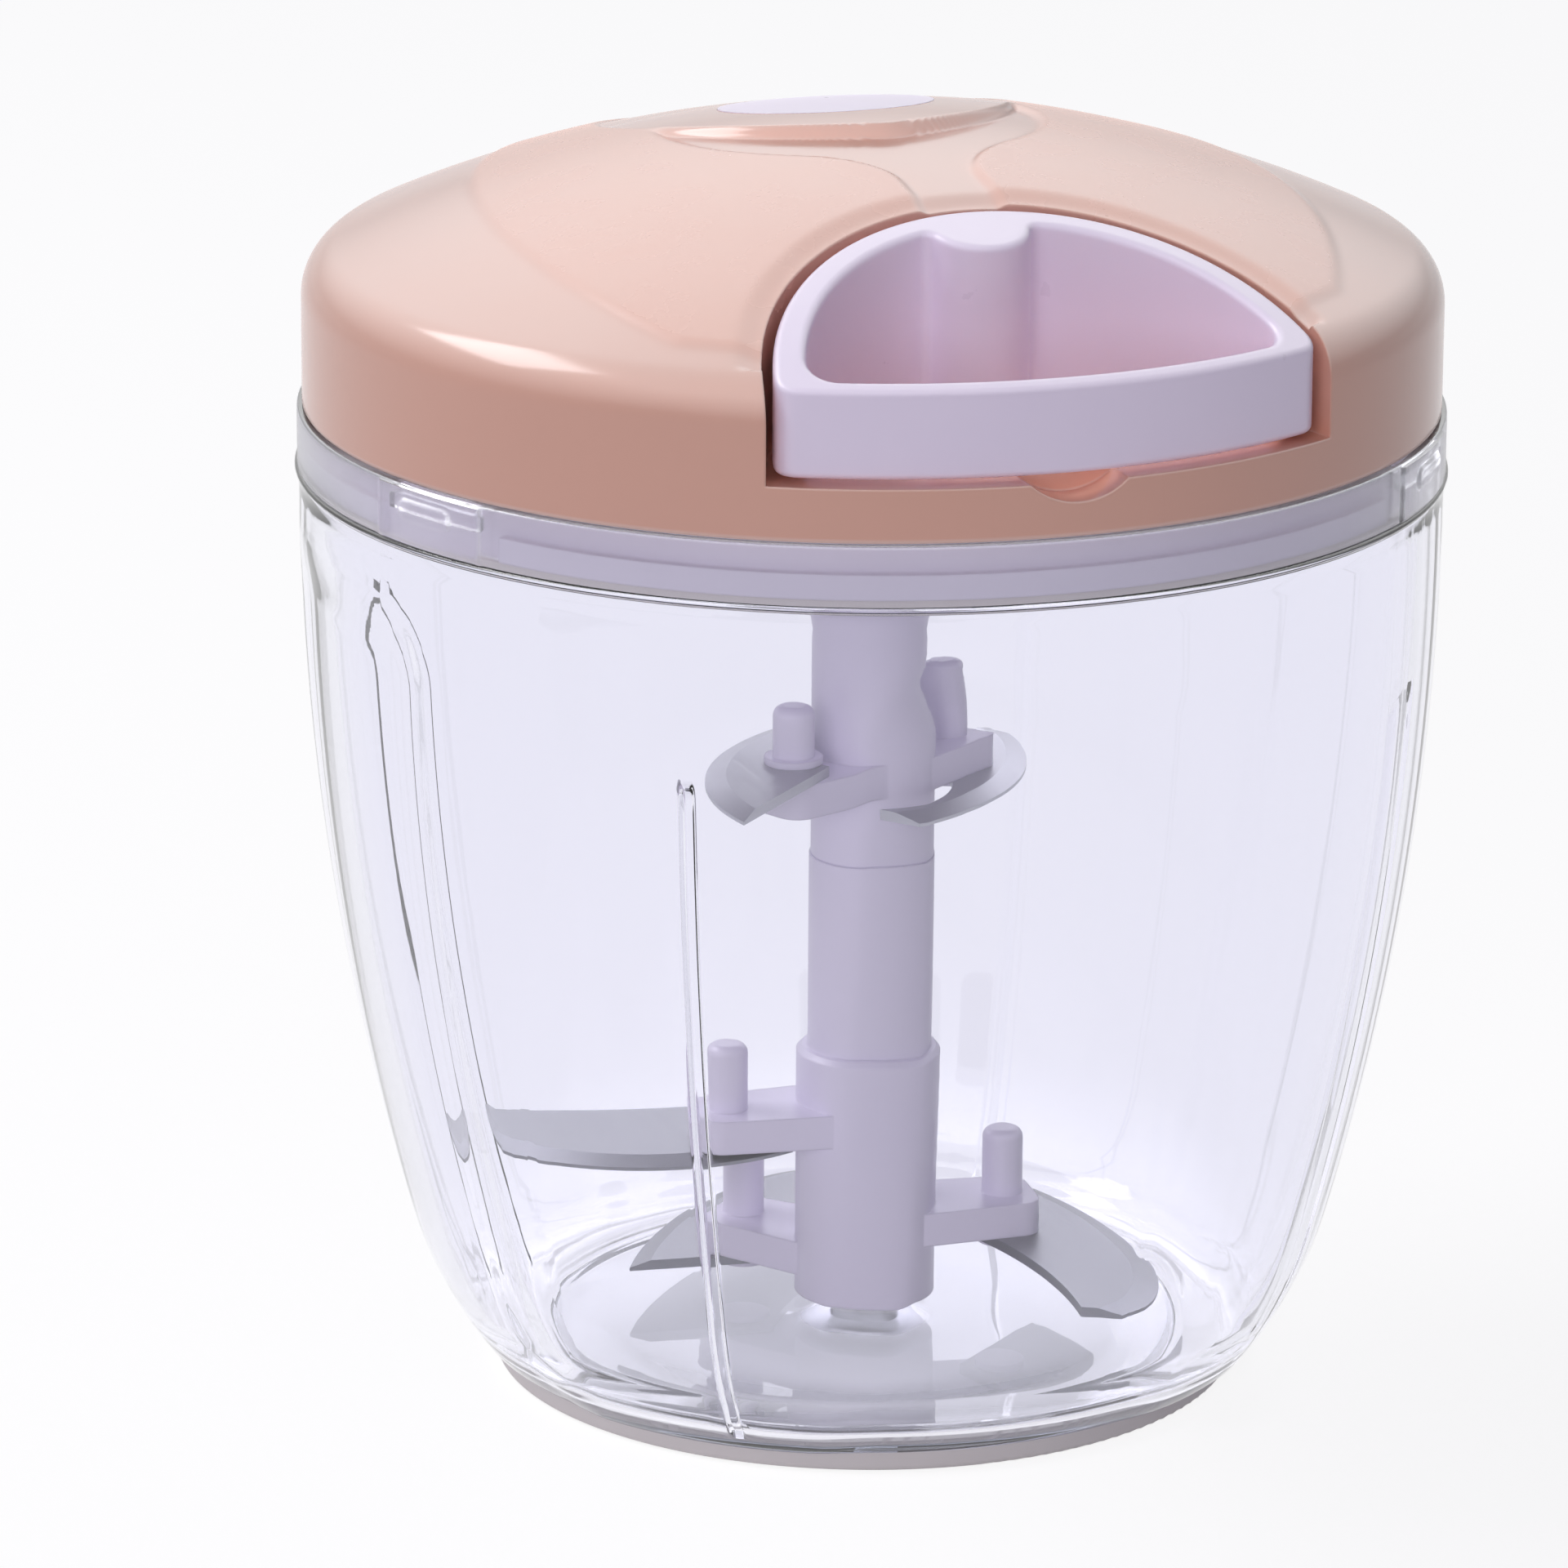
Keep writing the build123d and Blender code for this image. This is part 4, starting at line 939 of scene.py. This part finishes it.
cord_run = cord_tube(
    "cord_run",
    [
        winding_route[-1],
        (0.5 * winding_route[-1][0], 0.5 * (winding_route[-1][1] - bend_distance), cord_height),
        (0, -bend_distance, cord_height),
        (0, -bend_distance - eyelet_length, cord_height),
        (0, knot_place + 2 * knot_size, cord_height),
        (0, knot_place + knot_size, cord_height),
    ],
)
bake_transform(cord_run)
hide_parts("cord_lead")

# Knot: a trefoil whose line goes twice round the cord's own direction
knot_route = []
for step in range(knot_points + 1):
    turn = radians(360 * step / knot_points)
    swell = knot_size * (2 + cos(3 * turn)) / 3
    knot_route.append(
        (
            swell * cos(2 * turn),
            knot_place + knot_size * knot_flatness * sin(3 * turn),
            cord_height + swell * sin(2 * turn),
        )
    )
cord_lump = cord_tube("cord_lump", knot_route)
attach(cord_lump, "handle")
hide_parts("cord_knot")


# Stage

bpy.ops.object.select_all(action="DESELECT")
bpy.ops.mesh.primitive_plane_add(size=floor_size * mm, location=(0, 0, -floor_gap * mm))
floor = bpy.context.object
floor.name = "floor"
floor_finish = bpy.data.materials.new("pale_floor")
floor_finish.use_nodes = True
floor_tree = floor_finish.node_tree
floor_tree.nodes.clear()


def seen_rays(tree):
    """1 for rays that show the surroundings: straight, mirrored or through the clear bowl."""
    ray = place(tree, "ShaderNodeLightPath")
    mirrored = work(tree, "MAXIMUM", ray.outputs["Is Camera Ray"], ray.outputs["Is Glossy Ray"])
    return work(tree, "MAXIMUM", mirrored, ray.outputs["Is Transmission Ray"])


pale = place(floor_tree, "ShaderNodeBsdfDiffuse", {"Color": (0.93, 0.93, 0.93, 1)})
glow = place(floor_tree, "ShaderNodeEmission", {"Color": (1, 1, 1, 1), "Strength": floor_glow})
glow_share = work(floor_tree, "MULTIPLY", seen_rays(floor_tree), floor_glow_share)
mixed = place(
    floor_tree,
    "ShaderNodeMixShader",
    {0: glow_share, 1: pale.outputs["BSDF"], 2: glow.outputs["Emission"]},
)
place(floor_tree, "ShaderNodeOutputMaterial", {"Surface": mixed.outputs["Shader"]})
floor.data.materials.append(floor_finish)

world = bpy.data.worlds.new("studio")
bpy.context.scene.world = world
world.use_nodes = True
sky = world.node_tree
sky.nodes.clear()
fill = place(sky, "ShaderNodeBackground", {"Color": (0.86, 0.84, 1.0, 1), "Strength": fill_light})
look = place(sky, "ShaderNodeSeparateXYZ", {"Vector": place(sky, "ShaderNodeTexCoord").outputs["Generated"]})
ceiling = place(
    sky,
    "ShaderNodeMapRange",
    {
        "Value": look.outputs["Z"],
        "From Min": ceiling_start,
        "From Max": ceiling_end,
        "To Min": 1.0,
        "To Max": ceiling_glow,
    },
)
mirrored = place(sky, "ShaderNodeLightPath").outputs["Is Glossy Ray"]
lift = work(sky, "MULTIPLY", mirrored, work(sky, "SUBTRACT", ceiling.outputs["Result"], 1.0))
backdrop = place(
    sky, "ShaderNodeBackground", {"Color": (1, 1, 1, 1), "Strength": work(sky, "ADD", lift, 1.0)}
)
both = place(
    sky,
    "ShaderNodeMixShader",
    {0: seen_rays(sky), 1: fill.outputs["Background"], 2: backdrop.outputs["Background"]},
)
place(sky, "ShaderNodeOutputWorld", {"Surface": both.outputs["Shader"]})


def soft_box(name, place_at, aim, width, height, power, colour):
    """Rectangular lamp aimed at a point, lengths in metres."""
    data = bpy.data.lights.new(name, "AREA")
    data.shape = "RECTANGLE"
    data.size = width
    data.size_y = height
    data.energy = power
    data.color = colour
    lamp = bpy.data.objects.new(name, data)
    bpy.context.scene.collection.objects.link(lamp)
    lamp.location = place_at
    lamp.rotation_euler = (Vector(aim) - Vector(place_at)).to_track_quat("-Z", "Y").to_euler()
    return lamp


soft_box("left_top", (-0.72, 0.53, 1.07), (0, 0, 0.1), 0.75, 0.45, 5.8, (1.0, 0.98, 1.0))
front_lamp = soft_box("front", (-0.85, -1.2, 0.5), (0, 0, 0.08), 1.0, 0.7, 6.0, (1.0, 0.97, 1.0))
front_lamp.visible_glossy = False
front_lamp.visible_transmission = False

camera_data = bpy.data.cameras.new("camera")
camera_data.lens = camera_lens
camera_data.sensor_width = 36.0
camera = bpy.data.objects.new("camera", camera_data)
bpy.context.scene.collection.objects.link(camera)
camera.location = Vector(camera_place) * mm
aim = (Vector(camera_target) - Vector(camera_place)).to_track_quat("-Z", "Y")
camera.rotation_euler = (aim @ Quaternion((0, 0, 1), camera_roll)).to_euler()
bpy.context.scene.camera = camera
bpy.context.scene.view_settings.view_transform = "Standard"
